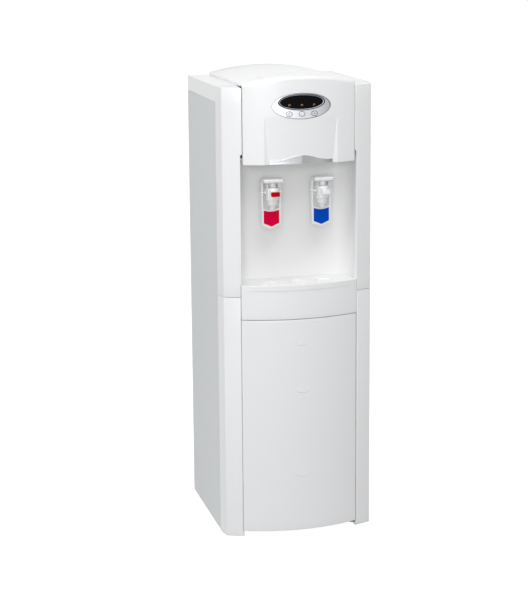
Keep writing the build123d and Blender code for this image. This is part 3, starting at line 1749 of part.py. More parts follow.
can_bottom = compressor_low + can_wall
with BuildPart() as compressor:
    add(
        can(
            compressor_x,
            compressor_y,
            compressor_low,
            compressor_high,
            compressor_radius,
            compressor_dome,
            compressor_sump,
        )
    )
    with Locations((compressor_x, compressor_y, compressor_foot_z)):
        Box(
            compressor_foot_x,
            compressor_foot_y,
            compressor_foot,
            align=(Align.CENTER, Align.CENTER, Align.MIN),
        )
    with Locations((terminal_x, compressor_y, terminal_low)):
        Box(
            terminal_depth,
            terminal_width,
            terminal_height,
            align=(Align.MIN, Align.CENTER, Align.MIN),
        )
    add(
        can(
            compressor_x,
            compressor_y,
            can_bottom,
            compressor_high - can_wall,
            compressor_radius - can_wall,
            compressor_dome - can_wall,
            compressor_sump - can_wall,
        ),
        mode=Mode.SUBTRACT,
    )
    with Locations((suction_port_x, suction_port_y, compressor_high)):
        Cylinder(pipe_bore, 2 * compressor_dome, mode=Mode.SUBTRACT)
    # the motor and its pump block stand inside the can
    with Locations((compressor_x, compressor_y, can_bottom + seat)):
        Cylinder(motor_radius, motor_height, align=(Align.CENTER, Align.CENTER, Align.MIN))

mount_bottom = shelf_z + shelf_sheet + seat
with BuildPart() as compressor_mounts:
    with Locations((compressor_x, compressor_y, mount_bottom)):
        with GridLocations(mount_spacing_x, mount_spacing_y, 2, 2):
            Cylinder(
                mount_radius,
                compressor_foot_z - seat - mount_bottom,
                align=(Align.CENTER, Align.CENTER, Align.MIN),
            )

with BuildPart() as water_pump:
    for radius, low, high in (
        (pump_radius, mount_bottom, mount_bottom + pump_height),
        (pump_head_radius, mount_bottom + pump_height, mount_bottom + pump_height + pump_head),
    ):
        with Locations((pump_x, pump_y, low)):
            Cylinder(radius, high - low, align=(Align.CENTER, Align.CENTER, Align.MIN))
    fillet(water_pump.edges().group_by(Axis.Z)[-1], 3.0)
pump_top = mount_bottom + pump_height + pump_head
pump_port_z = pump_top - pump_head / 2

with BuildPart() as power_board:
    with Locations((board_x, board_front_y, board_z)):
        Box(
            board_width,
            board_thickness,
            board_height,
            align=(Align.CENTER, Align.MIN, Align.CENTER),
        )
    for (across, up), size in (
        (relay_at, relay),
        (transformer_at, transformer),
        (fuse_block_at, fuse_block),
    ):
        with Locations((board_x + across, board_front_y, board_z + up)):
            Box(*size, align=(Align.CENTER, Align.MAX, Align.CENTER))
    post_across = board_width / 2 - board_post_inset
    post_up = board_height / 2 - board_post_inset
    for x in (board_x - post_across, board_x + post_across):
        for z in (board_z - post_up, board_z + post_up):
            rod((x, 0, z), post_radius, board_front_y + board_thickness, back_panel_y - seat, "Y")


def tube(points, radii, radius):
    """A pipe along straight runs joined by tangent arcs."""
    with BuildPart() as pipe:
        with BuildLine() as path:
            if radii:
                FilletPolyline(*points, radius=radii)
            else:
                Line(*points)
        with BuildSketch(Plane(path.line @ 0, z_dir=path.line % 0)):
            Circle(radius)
        sweep()
    return pipe.part


hot_hose_gap = 20.0  # hot hose behind its tap's tail
hot_hose_rise = 20.2  # above the jackets
feed_drop = 12.0  # feed hose below the tank shelf

hot_hose_y = tail_end_y + hot_hose_gap
hot_top_z = jacket_top + hot_hose_rise
feed_z = tank_shelf_z - feed_drop
tank_top = tank_bottom + hot_tank_height
pump_hose_x = pump_face_x - hose_radius / 5
pump_bend = 2 / 3 * (pump_hose_x - suction_x)
cold_face_y = tank_y - sqrt(cold_tank_radius**2 - (cold_x - tap_x - hose_radius) ** 2)
with BuildPart() as water_hoses:
    # from the probe's cap, along the top of the bay and up to the pump
    add(
        tube(
            [
                (probe_x, probe_y, probe_cap_top + seat),
                (probe_x, probe_y, suction_z),
                (suction_x, suction_y, suction_z),
                (suction_x, suction_y, pump_port_z),
                (suction_x, pump_y, pump_port_z),
                (pump_hose_x, pump_y, pump_port_z),
            ],
            [14, 16, pump_bend, pump_bend],
            hose_radius,
        )
    )
    # from the pump up to the cold tank
    add(
        tube(
            [
                (pump_x, pump_y, pump_top + seat),
                (pump_x, pump_y, (pump_top + tank_shelf_z) / 2),
                (cold_x, tank_y, (pump_top + tank_shelf_z) / 2),
                (cold_x, tank_y, tank_bottom - seat),
            ],
            [20, 20],
            hose_radius,
        )
    )
    # from the cold tank to its tap, and down and across to the hot tank
    add(
        tube(
            [(tap_x, tail_end_y + seat, tap_tail_z), (tap_x, cold_face_y - seat, tap_tail_z)],
            None,
            hose_radius,
        )
    )
    add(
        tube(
            [
                (feed_x, feed_y, tank_bottom - seat),
                (feed_x, feed_y, feed_z),
                (hot_x, tank_y, feed_z),
                (hot_x, tank_y, tank_bottom - seat),
            ],
            [12, 12],
            hose_radius,
        )
    )
    # from the top of the hot tank forward and down to its tap
    add(
        tube(
            [
                (hot_x, tank_y, tank_top + seat),
                (hot_x, tank_y, hot_top_z),
                (-tap_x, hot_hose_y, hot_top_z),
                (-tap_x, hot_hose_y, tap_tail_z),
                (-tap_x, tail_end_y + seat, tap_tail_z),
            ],
            [14, 14, 9],
            hose_radius,
        )
    )

discharge_rise = 67.0
suction_run_rise = 7.0
liquid_rise = 32.2  # liquid pipe above the jackets
drier_radius = 9.0
drier_length = 84.0
drier_rise = 70.0

discharge_z = compressor_low + discharge_rise
suction_run_z = compressor_high + suction_run_rise
suction_port_reach = hypot(suction_port_x - compressor_x, suction_port_y - compressor_y)
dome_reach = suction_port_reach - pipe_radius - compressor_radius + compressor_dome
suction_port_z = compressor_high - compressor_dome + sqrt(compressor_dome**2 - dome_reach**2)
coil_top = coil_low + coil_pitch * coil_turns
liquid_z = jacket_top + liquid_rise
drier_z = tank_shelf_z + drier_rise
with BuildPart() as refrigerant_pipes:
    # hot gas from the compressor to the top of the condenser
    add(
        tube(
            [
                (compressor_x, compressor_y + compressor_radius + seat, discharge_z),
                (compressor_x, pipe_back_y, discharge_z),
                (pipe_left_x, pipe_back_y, discharge_z),
                (pipe_left_x, pipe_back_y, condenser_high),
                (pipe_left_x, condenser_y, condenser_high),
                (-condenser_half - seat, condenser_y, condenser_high),
            ],
            [7, 10, 10, 10],
            pipe_radius,
        )
    )
    # liquid from the foot of the condenser through the drier to the coil
    add(
        tube(
            [
                (-condenser_half - seat, condenser_y, condenser_low),
                (pipe_far_left_x, condenser_y, condenser_low),
                (pipe_far_left_x, pipe_back_y, condenser_low),
                (pipe_far_left_x, pipe_back_y, liquid_z),
                (cold_x + coil_radius, tank_y, liquid_z),
                (cold_x + coil_radius, tank_y, coil_top + coil_tube + seat),
            ],
            [10, 10, 10, 14],
            pipe_radius,
        )
    )
    with Locations((pipe_far_left_x, pipe_back_y, drier_z)):
        Cylinder(drier_radius, drier_length)
    # cold gas from the coil back to the compressor
    add(
        tube(
            [
                (cold_x - coil_radius - coil_tube - seat, tank_y, coil_low),
                (gap_pipe_x, tank_y, coil_low),
                (gap_pipe_x, tank_y, suction_run_z),
                (suction_port_x, suction_port_y, suction_run_z),
                (suction_port_x, suction_port_y, suction_port_z + seat),
            ],
            [8, 10, 6],
            pipe_radius,
        )
    )

with BuildPart() as condenser:
    runs = []
    for i in range(condenser_runs):
        z = condenser_low + i * condenser_pitch
        ends = [(-condenser_half, condenser_y, z), (condenser_half, condenser_y, z)]
        runs += ends if i % 2 == 0 else ends[::-1]
    add(tube(runs, [condenser_pitch / 2 - 0.1] * (len(runs) - 2), condenser_tube))
    wire_y = condenser_y + condenser_tube + wire_radius + wire_gap
    wire_span = 2 * (condenser_half - condenser_pitch)
    with Locations((0, wire_y, (condenser_low + condenser_high) / 2)):
        with GridLocations(wire_span / (wire_count - 1), 0, wire_count, 1):
            Cylinder(wire_radius, condenser_high - condenser_low + 2 * condenser_tube)
    clip_front = back_panel_y + sheet + seat
    for x in (-condenser_half / 2, condenser_half / 2):
        for z in (condenser_low + condenser_pitch, condenser_high - condenser_pitch):
            with Locations((x, clip_front, z)):
                Box(
                    4 * pipe_radius,
                    condenser_y - condenser_tube - seat - clip_front,
                    4 * pipe_radius,
                    align=(Align.CENTER, Align.MIN, Align.CENTER),
                )

write(evaporator_coil, "evaporator_coil")
write(compressor, "compressor")
write(compressor_mounts, "compressor_mounts")
write(water_pump, "water_pump")
write(power_board, "power_board")
write(water_hoses, "water_hoses")
write(refrigerant_pipes, "refrigerant_pipes")
write(condenser, "condenser")
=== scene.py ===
"""A floor-standing water cooler: its shells, taps, display, finishes and studio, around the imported
frame."""

import json
import math

import bmesh
import bpy
import numpy as np
from mathutils import Matrix, Vector
from mathutils.geometry import delaunay_2d_cdt


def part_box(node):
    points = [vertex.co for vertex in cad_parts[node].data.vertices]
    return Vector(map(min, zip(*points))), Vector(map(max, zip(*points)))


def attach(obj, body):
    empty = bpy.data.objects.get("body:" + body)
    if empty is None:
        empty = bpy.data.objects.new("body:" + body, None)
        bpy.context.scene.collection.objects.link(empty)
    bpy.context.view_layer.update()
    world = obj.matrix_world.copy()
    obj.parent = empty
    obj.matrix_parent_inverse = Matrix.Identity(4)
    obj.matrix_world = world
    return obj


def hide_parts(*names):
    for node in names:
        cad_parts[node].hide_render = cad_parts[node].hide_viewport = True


bl_info = {
    "name": "Bottom load water cooler",
    "version": (1, 0, 0),
    "blender": (4, 5, 0),
    "location": "3D View > Sidebar > Cooler",
    "description": "Builds the shells, taps, display and finishes of a water cooler",
    "category": "Add Mesh",
}

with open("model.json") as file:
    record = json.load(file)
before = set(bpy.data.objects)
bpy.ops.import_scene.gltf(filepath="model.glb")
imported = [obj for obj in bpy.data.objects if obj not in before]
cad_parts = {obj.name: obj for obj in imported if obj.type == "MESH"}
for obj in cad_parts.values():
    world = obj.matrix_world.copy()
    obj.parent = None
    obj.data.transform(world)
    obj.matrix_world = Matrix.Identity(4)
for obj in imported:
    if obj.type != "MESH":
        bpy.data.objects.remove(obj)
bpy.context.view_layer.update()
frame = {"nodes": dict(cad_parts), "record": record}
nodes = frame["nodes"]


# ------------------------------------------------------------------ places taken from the frame
def corners(node):
    """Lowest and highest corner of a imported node, as arrays."""
    low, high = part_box(node)
    return np.array(low), np.array(high)


door_low, door_high = corners("door_skin")
apron_low, apron_high = corners("apron")
frame_low, frame_high = corners("top_frame")
lid_low, lid_high = corners("top_lid")
head_low, head_high = corners("head_cover")
lower_low, lower_high = corners("pillar_lower_right")
upper_low, upper_high = corners("pillar_upper_right")
trim_low, trim_high = corners("head_trim")

front_bow = 0.0285  # crown of the bowed front ahead of its ends
foot_step = 0.0028  # how much closer each pillar stands below the door than beside it
bay_half = lower_low[0] + foot_step  # half the gap between the pillars at the door
y_crown = door_low[1]
y_edge = y_crown + front_bow
bow_radius = (bay_half**2 + front_bow**2) / (2 * front_bow)
bow_centre = y_crown + bow_radius


def front_y(x, inset=0.0):
    """Y of the bowed front at x, moved inwards by inset."""
    return bow_centre - np.sqrt((bow_radius - inset) ** 2 - np.square(x))


def grid_of(x, y, z):
    """Points whose x, y and z are broadcast against each other."""
    return np.stack(np.broadcast_arrays(x, y, z), axis=-1)


def on_front(x, z, behind=0.0):
    """Points of the bowed front at x and z, moved back by behind."""
    return grid_of(x, front_y(x) + behind, z)


# ------------------------------------------------------------------ settings
class CoolerColours(bpy.types.PropertyGroup):
    """Finishes that a user would change."""

    white: bpy.props.FloatVectorProperty(
        name="White", description="Glossy moulded shells", subtype="COLOR", default=(0.88, 0.885, 0.895)
    )
    recess: bpy.props.FloatVectorProperty(
        name="Recess",
        description="Satin plastic of the cup recess",
        subtype="COLOR",
        default=(0.86, 0.865, 0.86),
    )
    panel: bpy.props.FloatVectorProperty(
        name="Side panels", description="Painted steel sides", subtype="COLOR", default=(0.74, 0.77, 0.775)
    )
    silver: bpy.props.FloatVectorProperty(
        name="Silver", description="Lacquered trim and bezel", subtype="COLOR", default=(0.66, 0.68, 0.71)
    )
    hot: bpy.props.FloatVectorProperty(
        name="Hot", description="Insert of the hot paddle", subtype="COLOR", default=(0.74, 0.0, 0.046)
    )
    cold: bpy.props.FloatVectorProperty(
        name="Cold", description="Insert of the cold paddle", subtype="COLOR", default=(0.0, 0.07, 0.53)
    )
    tab: bpy.props.FloatVectorProperty(
        name="Safety tab", description="Tab of the hot tap", subtype="COLOR", default=(0.56, 0.0, 0.002)
    )


class CoolerSizes(bpy.types.PropertyGroup):
    """Sizes of the moulded detail that a user would change."""

    edge: bpy.props.FloatProperty(
        name="Edge", description="Rolled edge of the door and the apron", default=0.0016, unit="LENGTH"
    )
    smile: bpy.props.FloatProperty(
        name="Smile", description="Height of the door's smile-shaped reliefs", default=0.0008, unit="LENGTH"
    )
    crease: bpy.props.FloatProperty(
        name="Crease", description="Depth of the step along the apron's top", default=0.0010, unit="LENGTH"
    )
    paddle_edge: bpy.props.FloatProperty(
        name="Paddle edge", description="Rounded edge of the tap paddles", default=0.0009, unit="LENGTH"
    )


# ------------------------------------------------------------------ finishes
coat_roughness = 0.12
cloud_scale, cloud_detail = 9, 4
grain_detail, grain_height = 3, 0.0002  # the height is in metres
flake_scale = 4200  # flakes of the silver lacquer, per metre
# Painted reflection and shade: greys painted into the colour of the bezel and the buttons, lit on the left
# and shaded on the right.
bezel_painted_reflection = (  # brightness of the bezel from side to side: x in metres, grey
    (-0.070, 0.97), (-0.045, 0.93), (0.0, 0.74), (0.035, 0.62), (0.070, 0.42),
)
trim_painted_reflection = (  # the same painted reflection and shade for the trim, lit left of its ridge and shaded right of it
    (-0.076, 0.66), (-0.030, 0.58), (-0.001, 0.50), (0.001, 0.34), (0.045, 0.42), (0.076, 0.24),
)


def finish(
    name, colour, roughness=0.4, metallic=0.0, coat=0.0, cloud=0.03, grain=0.0, grain_scale=900.0, **more
):
    """A moulded, painted or metal finish: one colour with a faint cloudiness and a fine surface grain."""
    made = bpy.data.materials.new(f"{name}_finish")
    made.use_nodes = True
    tree = made.node_tree
    shader = tree.nodes["Principled BSDF"]
    shader.inputs["Roughness"].default_value = roughness
    shader.inputs["Metallic"].default_value = metallic
    shader.inputs["Coat Weight"].default_value = coat
    shader.inputs["Coat Roughness"].default_value = coat_roughness
    for socket, value in more.items():
        shader.inputs[socket.replace("_", " ")].default_value = value
    place = tree.nodes.new("ShaderNodeTexCoord")
    patches = tree.nodes.new("ShaderNodeTexNoise")
    patches.inputs["Scale"].default_value = cloud_scale
    patches.inputs["Detail"].default_value = cloud_detail
    shades = tree.nodes.new("ShaderNodeMix")
    shades.data_type = "RGBA"
    shades.inputs["A"].default_value = (*(c * (1 - cloud) for c in colour), 1)
    shades.inputs["B"].default_value = (*(min(1, c * (1 + cloud)) for c in colour), 1)
    tree.links.new(place.outputs["Object"], patches.inputs["Vector"])
    tree.links.new(patches.outputs["Fac"], shades.inputs["Factor"])
    tree.links.new(shades.outputs["Result"], shader.inputs["Base Color"])
    if grain:
        noise = tree.nodes.new("ShaderNodeTexNoise")
        noise.inputs["Scale"].default_value = grain_scale
        noise.inputs["Detail"].default_value = grain_detail
        bump = tree.nodes.new("ShaderNodeBump")
        bump.inputs["Strength"].default_value = grain
        bump.inputs["Distance"].default_value = grain_height
        tree.links.new(place.outputs["Object"], noise.inputs["Vector"])
        tree.links.new(noise.outputs["Fac"], bump.inputs["Height"])
        tree.links.new(bump.outputs["Normal"], shader.inputs["Normal"])
    return made


def brushed(name, colour, roughness=0.35, along=(1, 1, 60)):
    """Rolled or turned metal: noise stretched along one way varies the roughness."""
    made = finish(name, colour, roughness, metallic=1.0)
    tree = made.node_tree
    shader = tree.nodes["Principled BSDF"]
    place = tree.nodes.new("ShaderNodeTexCoord")
    stretch = tree.nodes.new("ShaderNodeMapping")
    stretch.inputs["Scale"].default_value = along
    noise = tree.nodes.new("ShaderNodeTexNoise")
    noise.inputs["Scale"].default_value = 30
    spread = tree.nodes.new("ShaderNodeMapRange")
    spread.inputs["To Min"].default_value = roughness - 0.1
    spread.inputs["To Max"].default_value = roughness + 0.12
    tree.links.new(place.outputs["Object"], stretch.inputs["Vector"])
    tree.links.new(stretch.outputs["Vector"], noise.inputs["Vector"])
    tree.links.new(noise.outputs["Fac"], spread.inputs["Value"])
    tree.links.new(spread.outputs["Result"], shader.inputs["Roughness"])
    return made


def silver_finish(name, colour, painted_reflection=()):
    """Silver lacquer with fine flakes: a Voronoi noise at flake size varies its roughness. Given the greys of
    a painted reflection, its colour is painted lighter and darker from side to side, as (x in metres, grey)
    pairs in order."""
    made = finish(name, colour, 0.28, metallic=0.55, coat=0.3, grain=0.04, grain_scale=2600)
    tree = made.node_tree
    shader = tree.nodes["Principled BSDF"]
    place = tree.nodes.new("ShaderNodeTexCoord")
    flakes = tree.nodes.new("ShaderNodeTexVoronoi")
    flakes.inputs["Scale"].default_value = flake_scale
    spread = tree.nodes.new("ShaderNodeMapRange")
    spread.inputs["To Min"].default_value = 0.2
    spread.inputs["To Max"].default_value = 0.42
    tree.links.new(place.outputs["Object"], flakes.inputs["Vector"])
    tree.links.new(flakes.outputs["Distance"], spread.inputs["Value"])
    tree.links.new(spread.outputs["Result"], shader.inputs["Roughness"])
    # paints reflection and shade into the colour: a ramp of greys across the object's X
    if painted_reflection:
        reach = painted_reflection[-1][0]
        split = tree.nodes.new("ShaderNodeSeparateXYZ")
        scale = tree.nodes.new("ShaderNodeMapRange")
        scale.inputs["From Min"].default_value = -reach
        scale.inputs["From Max"].default_value = reach
        ramp = tree.nodes.new("ShaderNodeValToRGB")
        stops = ramp.color_ramp.elements  # the first and the last are there, at 0 and 1
        for x, _ in painted_reflection[1:-1]:
            stops.new((x / reach + 1) / 2)
        for stop, (_, grey) in zip(stops, painted_reflection):
            stop.color = (grey * 0.97, grey * 0.985, min(1, grey * 1.015), 1)
        tree.links.new(place.outputs["Object"], split.inputs[0])
        tree.links.new(split.outputs["X"], scale.inputs["Value"])
        tree.links.new(scale.outputs["Result"], ramp.inputs["Fac"])
        tree.links.new(ramp.outputs["Color"], shader.inputs["Base Color"])
    return made


finishes = {}  # each slot's finish, made once


def slot_finish(slot):
    """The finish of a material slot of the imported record."""
    if slot in finishes:
        return finishes[slot]
    colours = bpy.context.scene.cooler_colours
    black = (0.012, 0.012, 0.013)
    dull = {"cloud": 0.02, "grain": 0.05, "Specular_IOR_Level": 0.05}
    makers = {
        "gloss_white": lambda: finish(
            slot, colours.white, 0.28, coat=0.35, cloud=0.012, grain=0.05, grain_scale=260
        ),
        "alcove_plastic": lambda: finish(
            slot, colours.recess, 0.42, cloud=0.015, grain=0.12, grain_scale=1500
        ),
        "grey_plastic": lambda: finish(slot, (0.42, 0.44, 0.46), 0.5, grain=0.15, grain_scale=1400),
        "painted_steel": lambda: finish(
            slot, colours.panel, 0.42, cloud=0.015, grain=0.18, grain_scale=700
        ),
        "zinc_sheet": lambda: brushed(slot, (0.52, 0.54, 0.56), 0.42),
        "tank_steel": lambda: brushed(slot, (0.6, 0.6, 0.6), 0.25),
        "pin_steel": lambda: brushed(slot, (0.16, 0.16, 0.17), 0.35),
        "black_steel": lambda: finish(slot, black, 0.35, coat=0.3, grain=0.1),
        "silver_plastic": lambda: silver_finish(slot, colours.silver),
        "blue_grey_plastic": lambda: finish(slot, (0.035, 0.07, 0.1), 0.25, Specular_IOR_Level=0.3),
        "black_window": lambda: finish(slot, (0.002, 0.002, 0.003), 0.12, Specular_IOR_Level=0.06),
        "lamp_orange": lambda: finish(slot, (0.5, 0.2, 0.06), 0.25, cloud=0.15),
        "red_plastic": lambda: finish(slot, colours.hot, 0.4, **dull),
        "blue_plastic": lambda: finish(slot, colours.cold, 0.4, **dull),
        "tab_red": lambda: finish(slot, colours.tab, 0.4, **dull),
        "red_switch": lambda: finish(slot, (0.45, 0.01, 0.01), 0.3, coat=0.2),
        "green_switch": lambda: finish(slot, (0.01, 0.2, 0.03), 0.3, coat=0.2),
        "black_plastic": lambda: finish(slot, black, 0.5, grain=0.2, grain_scale=1400),
        "probe_plastic": lambda: finish(slot, (0.74, 0.75, 0.76), 0.4, grain=0.08),
        "foam": lambda: finish(slot, (0.72, 0.70, 0.62), 0.85, grain=0.5, grain_scale=350, cloud=0.06),
        "circuit_board": lambda: finish(slot, (0.006, 0.09, 0.03), 0.35, coat=0.2),
        "copper": lambda: brushed(slot, (0.62, 0.28, 0.14), 0.3),
        "magnet": lambda: finish(slot, (0.03, 0.03, 0.033), 0.5),
        "rubber": lambda: finish(slot, black, 0.75, grain=0.25, grain_scale=1200),
        "hose": lambda: finish(slot, (0.62, 0.62, 0.60), 0.4, cloud=0.04),
    }
    finishes[slot] = makers[slot]()
    return finishes[slot]


# ------------------------------------------------------------------ mesh building
def place_mesh(name, grids, slot, body, replaced=(), polygons=(), loose=(), sharp=38, weld=1e-6):
    """Makes one piece of grids of points, (rows, columns, 3) each, welded where their borders meet, of
    loops that each close as one flat face, and of points with their own triangles."""
    points, faces = [], []
    start = 0
    for grid in grids:
        rows, columns, _ = grid.shape
        index = start + np.arange(rows * columns).reshape(rows, columns)
        quads = np.stack((index[:-1, :-1], index[1:, :-1], index[1:, 1:], index[:-1, 1:]), axis=-1)
        points.append(grid.reshape(-1, 3))
        faces += quads.reshape(-1, 4).tolist()
        start += rows * columns
    for loop in polygons:
        points.append(loop)
        faces.append(list(range(start, start + len(loop))))
        start += len(loop)
    for spots, triangles in loose:
        points.append(spots)
        faces += (triangles + start).tolist()
        start += len(spots)
    mesh = bpy.data.meshes.new(name)
    mesh.from_pydata(np.concatenate(points), [], faces)
    welded = bmesh.new()
    welded.from_mesh(mesh)
    bmesh.ops.remove_doubles(welded, verts=welded.verts, dist=weld)
    bmesh.ops.dissolve_degenerate(welded, edges=welded.edges, dist=weld)
    bmesh.ops.recalc_face_normals(welded, faces=welded.faces)
    for face in welded.faces:
        face.smooth = True
    welded.to_mesh(mesh)
    welded.free()
    mesh.set_sharp_from_angle(angle=math.radians(sharp))
    piece = bpy.data.objects.new(name, mesh)
    bpy.context.scene.collection.objects.link(piece)
    mesh.materials.append(slot_finish(slot))
    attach(piece, body)
    if replaced:
        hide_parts(*replaced)
    return piece


def ring_grid(rings):
    """A grid from a stack of closed rings, (rings, points, 3): the first point repeats at the end."""
    rings = np.asarray(rings)
    return np.concatenate((rings, rings[:, :1]), axis=1)


def offset(outline, inset):
    """Moves a closed counter-clockwise polygon inwards: each corner goes along its mitre."""
    sides = np.roll(outline, -1, axis=0) - outline
    sides /= np.linalg.norm(sides, axis=1, keepdims=True)
    inward = np.stack((-sides[:, 1], sides[:, 0]), axis=1)
    before = np.roll(inward, 1, axis=0)
    scale = 1 + np.sum(before * inward, axis=1, keepdims=True)
    return outline + inset * (before + inward) / scale


least_turn = 0.02  # half the smallest turn, in radians, that gets an arc
crisp = 2e-5  # radius of a corner that looks sharp


def rounded(outline, radii, steps=7):
    """Rounds each corner of a closed polygon with an arc that touches both sides, by spherical
    interpolation between the directions from the arc's centre to its two ends. A corner that hardly turns
    is cut straight."""
    before = np.roll(outline, 1, axis=0) - outline
    after = np.roll(outline, -1, axis=0) - outline
    before /= np.linalg.norm(before, axis=1, keepdims=True)
    after /= np.linalg.norm(after, axis=1, keepdims=True)
    radii = np.maximum(np.broadcast_to(radii, len(outline)), 1e-6)[:, None]
    half = np.arccos(np.clip(np.sum(before * after, axis=1, keepdims=True), -1, 1)) / 2
    flat = half > np.pi / 2 - least_turn
    half = np.minimum(half, np.pi / 2 - least_turn)
    middle = before + after
    length = np.maximum(np.linalg.norm(middle, axis=1, keepdims=True), 1e-9)
    centre = outline + middle / length * radii / np.sin(half)
    ends = outline + before * radii / np.tan(half), outline + after * radii / np.tan(half)
    first, last = (ends[0] - centre) / radii, (ends[1] - centre) / radii
    turn = (np.pi - 2 * half)[:, None]
    share = np.linspace(0, 1, steps)[None, :, None]
    arc = np.sin((1 - share) * turn) * first[:, None] + np.sin(share * turn) * last[:, None]
    bent = centre[:, None] + radii[:, None] * (arc / np.sin(turn))
    straight = (1 - share) * ends[0][:, None] + share * ends[1][:, None]
    return np.where(flat[:, :, None], straight, bent).reshape(-1, 2)


def drawn_in(outline, radii, inset, steps):
    """A closed outline moved inwards, with the rounding of its corners smaller by as much."""
    return rounded(offset(outline, inset), np.maximum(radii - inset, crisp), steps)


def level_ring(flat, height):
    """Points in X and Y lifted to a height, which is one value or one for each point."""
    return np.column_stack((flat, np.broadcast_to(height, len(flat))))


def rectangle(left, right, low, high):
    """The corners of a rectangle, counter-clockwise."""
    return np.array([(left, low), (right, low), (right, high), (left, high)])


def smooth(share):
    """A ramp from 0 to 1 that starts and ends level: s * s * (3 - 2 * s)."""
    return share * share * (3 - 2 * share)


def edge_arc(radius, steps=5):
    """Stations of a rounded end: how far in from the end, and how far the outline draws in there."""
    angle = np.linspace(0, np.pi / 2, steps)
    return radius * (1 - np.cos(angle)), radius * (1 - np.sin(angle))


def prism(outline, radii, low, high, edge, plane="XY", steps=7):
    """Rings of a straight piece with rounded ends, from an outline in XY, or in XZ and carried along Y, and
    the two loops that close it."""
    along, draw = edge_arc(edge)
    stations = np.concatenate((low + along, high - along[::-1]))
    insets = np.concatenate((draw, draw[::-1]))
    rings = np.array([
        level_ring(drawn_in(outline, radii, inset, steps), station)
        for station, inset in zip(stations, insets)
    ])
    if plane == "XZ":
        rings = rings[:, :, [0, 2, 1]]
    return ring_grid(rings), [rings[0], rings[-1]]


def lathe(profile, centre, axis="Z", turns=64):
    """A surface of revolution: each profile point (radius, station) goes round the axis through centre."""
    profile = np.asarray(profile, float)
    angle = np.linspace(0, 2 * np.pi, turns + 1)
    around = profile[:, :1] * np.cos(angle), profile[:, :1] * np.sin(angle)
    station = np.broadcast_to(profile[:, 1:], around[0].shape)
    order = {"Z": (around[0], around[1], station), "Y": (around[0], station, around[1]),
             "X": (station, around[0], around[1])}[axis]
    return np.stack(order, axis=-1) + np.asarray(centre)


def rounded_profile(points, radii, steps=5):
    """An open lathe profile with rounded corners, by the same arcs as a closed outline."""
    points = np.asarray(points, float)
    closed = rounded(points, np.asarray(radii, float), steps)
    return np.concatenate((points[:1], closed[steps:-steps], points[-1:]))


def rim(grid):
    """The closed border loop of a grid, in order."""
    return np.concatenate((grid[:-1, 0], grid[-1, :-1], grid[:0:-1, -1], grid[0, :0:-1]))


# ------------------------------------------------------------------ door and apron
door_wall = 0.003
door_flange = 0.0025
thin_end = 0.121  # where the door's rear slopes away from the thin stretch beside the hinge
slope_end = 0.091
thin_back = y_edge + 0.0045
smiles = (  # bottom, half width, height of the arc's ends, height of the point
    (0.4708, 0.0165, 0.0078, 0.0205),
    (0.3550, 0.0216, 0.0105, 0.0250),
    (0.1465, 0.0286, 0.0170, 0.0330),
)
smile_edge = 0.0013  # width of the step along the arc
smile_groove = 0.0008  # depth of the groove below the step
smile_run_out = 0.0035  # width over which the groove runs out
smile_grow = 0.75  # share of its height over which the fan rises
smile_step = 0.00045  # spacing of the mesh over the smiles
smile_beside = 0.004  # how far that fine mesh reaches beyond the widest smile
smile_above = 0.0005  # and beyond each smile's top and groove
seam_lap = 0.0002  # how far the shell narrows the seam on the side that opens


def edge_stations(low, high, edge, steps=6):
    """Stations across a face with a rolled edge at both ends, and the sine of the roll's angle at each."""
    angle = np.linspace(0, np.pi / 2, steps)
    near = low + edge * (1 - np.cos(angle))
    far = high - edge * (1 - np.cos(angle[::-1]))
    return near, far, np.sin(angle)


def smile_height(x, z, proud):
    """How far the smile shapes stand out. Each is a fan that rises slowly from two straight lines under its
    point. Along its circular arc it steps down into a shallow groove, which runs out gently below."""
    height = np.zeros(np.broadcast(x, z).shape)
    for bottom, half, sag, tall in smiles:
        radius = (half**2 + sag**2) / (2 * sag)
        inside = radius - np.hypot(x, z - bottom - radius)
        ledge = (proud + smile_groove) * smooth(np.clip(inside / smile_edge, 0, 1))
        groove = smile_groove * (1 - smooth(np.clip(-inside / smile_run_out, 0, 1)))
        lines = bottom + tall - np.abs(x) * (tall - sag) / half
        grow = np.clip((lines - z) / (smile_grow * tall), 0, 1)
        height += (ledge - groove) * grow
    return height


def bowed_face(xs, zs, sin_x, sin_z, edge, relief):
    """A bowed front with rolled edges. Its depth at the edges is edge * (1 - sin a * sin b), where a and b
    run from 0 at the border to a right angle where the face begins."""
    x, z = np.meshgrid(xs, zs, indexing="ij")
    roll = edge * (1 - sin_x[:, None] * sin_z[None, :])
    return on_front(x, z, roll + relief(x, z))


def box_shell(front, back_y, inner_front, flange, name, slot, body, replaced):
    """Closes a bowed front into a moulded tray: a skirt back to back_y, a flat flange, and an inner
    face."""
    border = rim(front)
    behind = border.copy()
    behind[:, 1] = back_y(border[:, 0])
    centre = (border.min(axis=0) + border.max(axis=0)) / 2
    half = (border.max(axis=0) - border.min(axis=0)) / 2
    shrink = (half - flange) / half
    inner = front.copy()
    inner[..., 0] = centre[0] + (front[..., 0] - centre[0]) * shrink[0]
    inner[..., 2] = centre[2] + (front[..., 2] - centre[2]) * shrink[2]
    inner[..., 1] = front_y(inner[..., 0], inner_front)
    mouth = rim(inner)
    lip = mouth.copy()
    lip[:, 1] = back_y(mouth[:, 0])
    skirt = ring_grid([border, behind, lip, mouth])
    return place_mesh(name, [front, skirt, inner], slot, body, replaced)


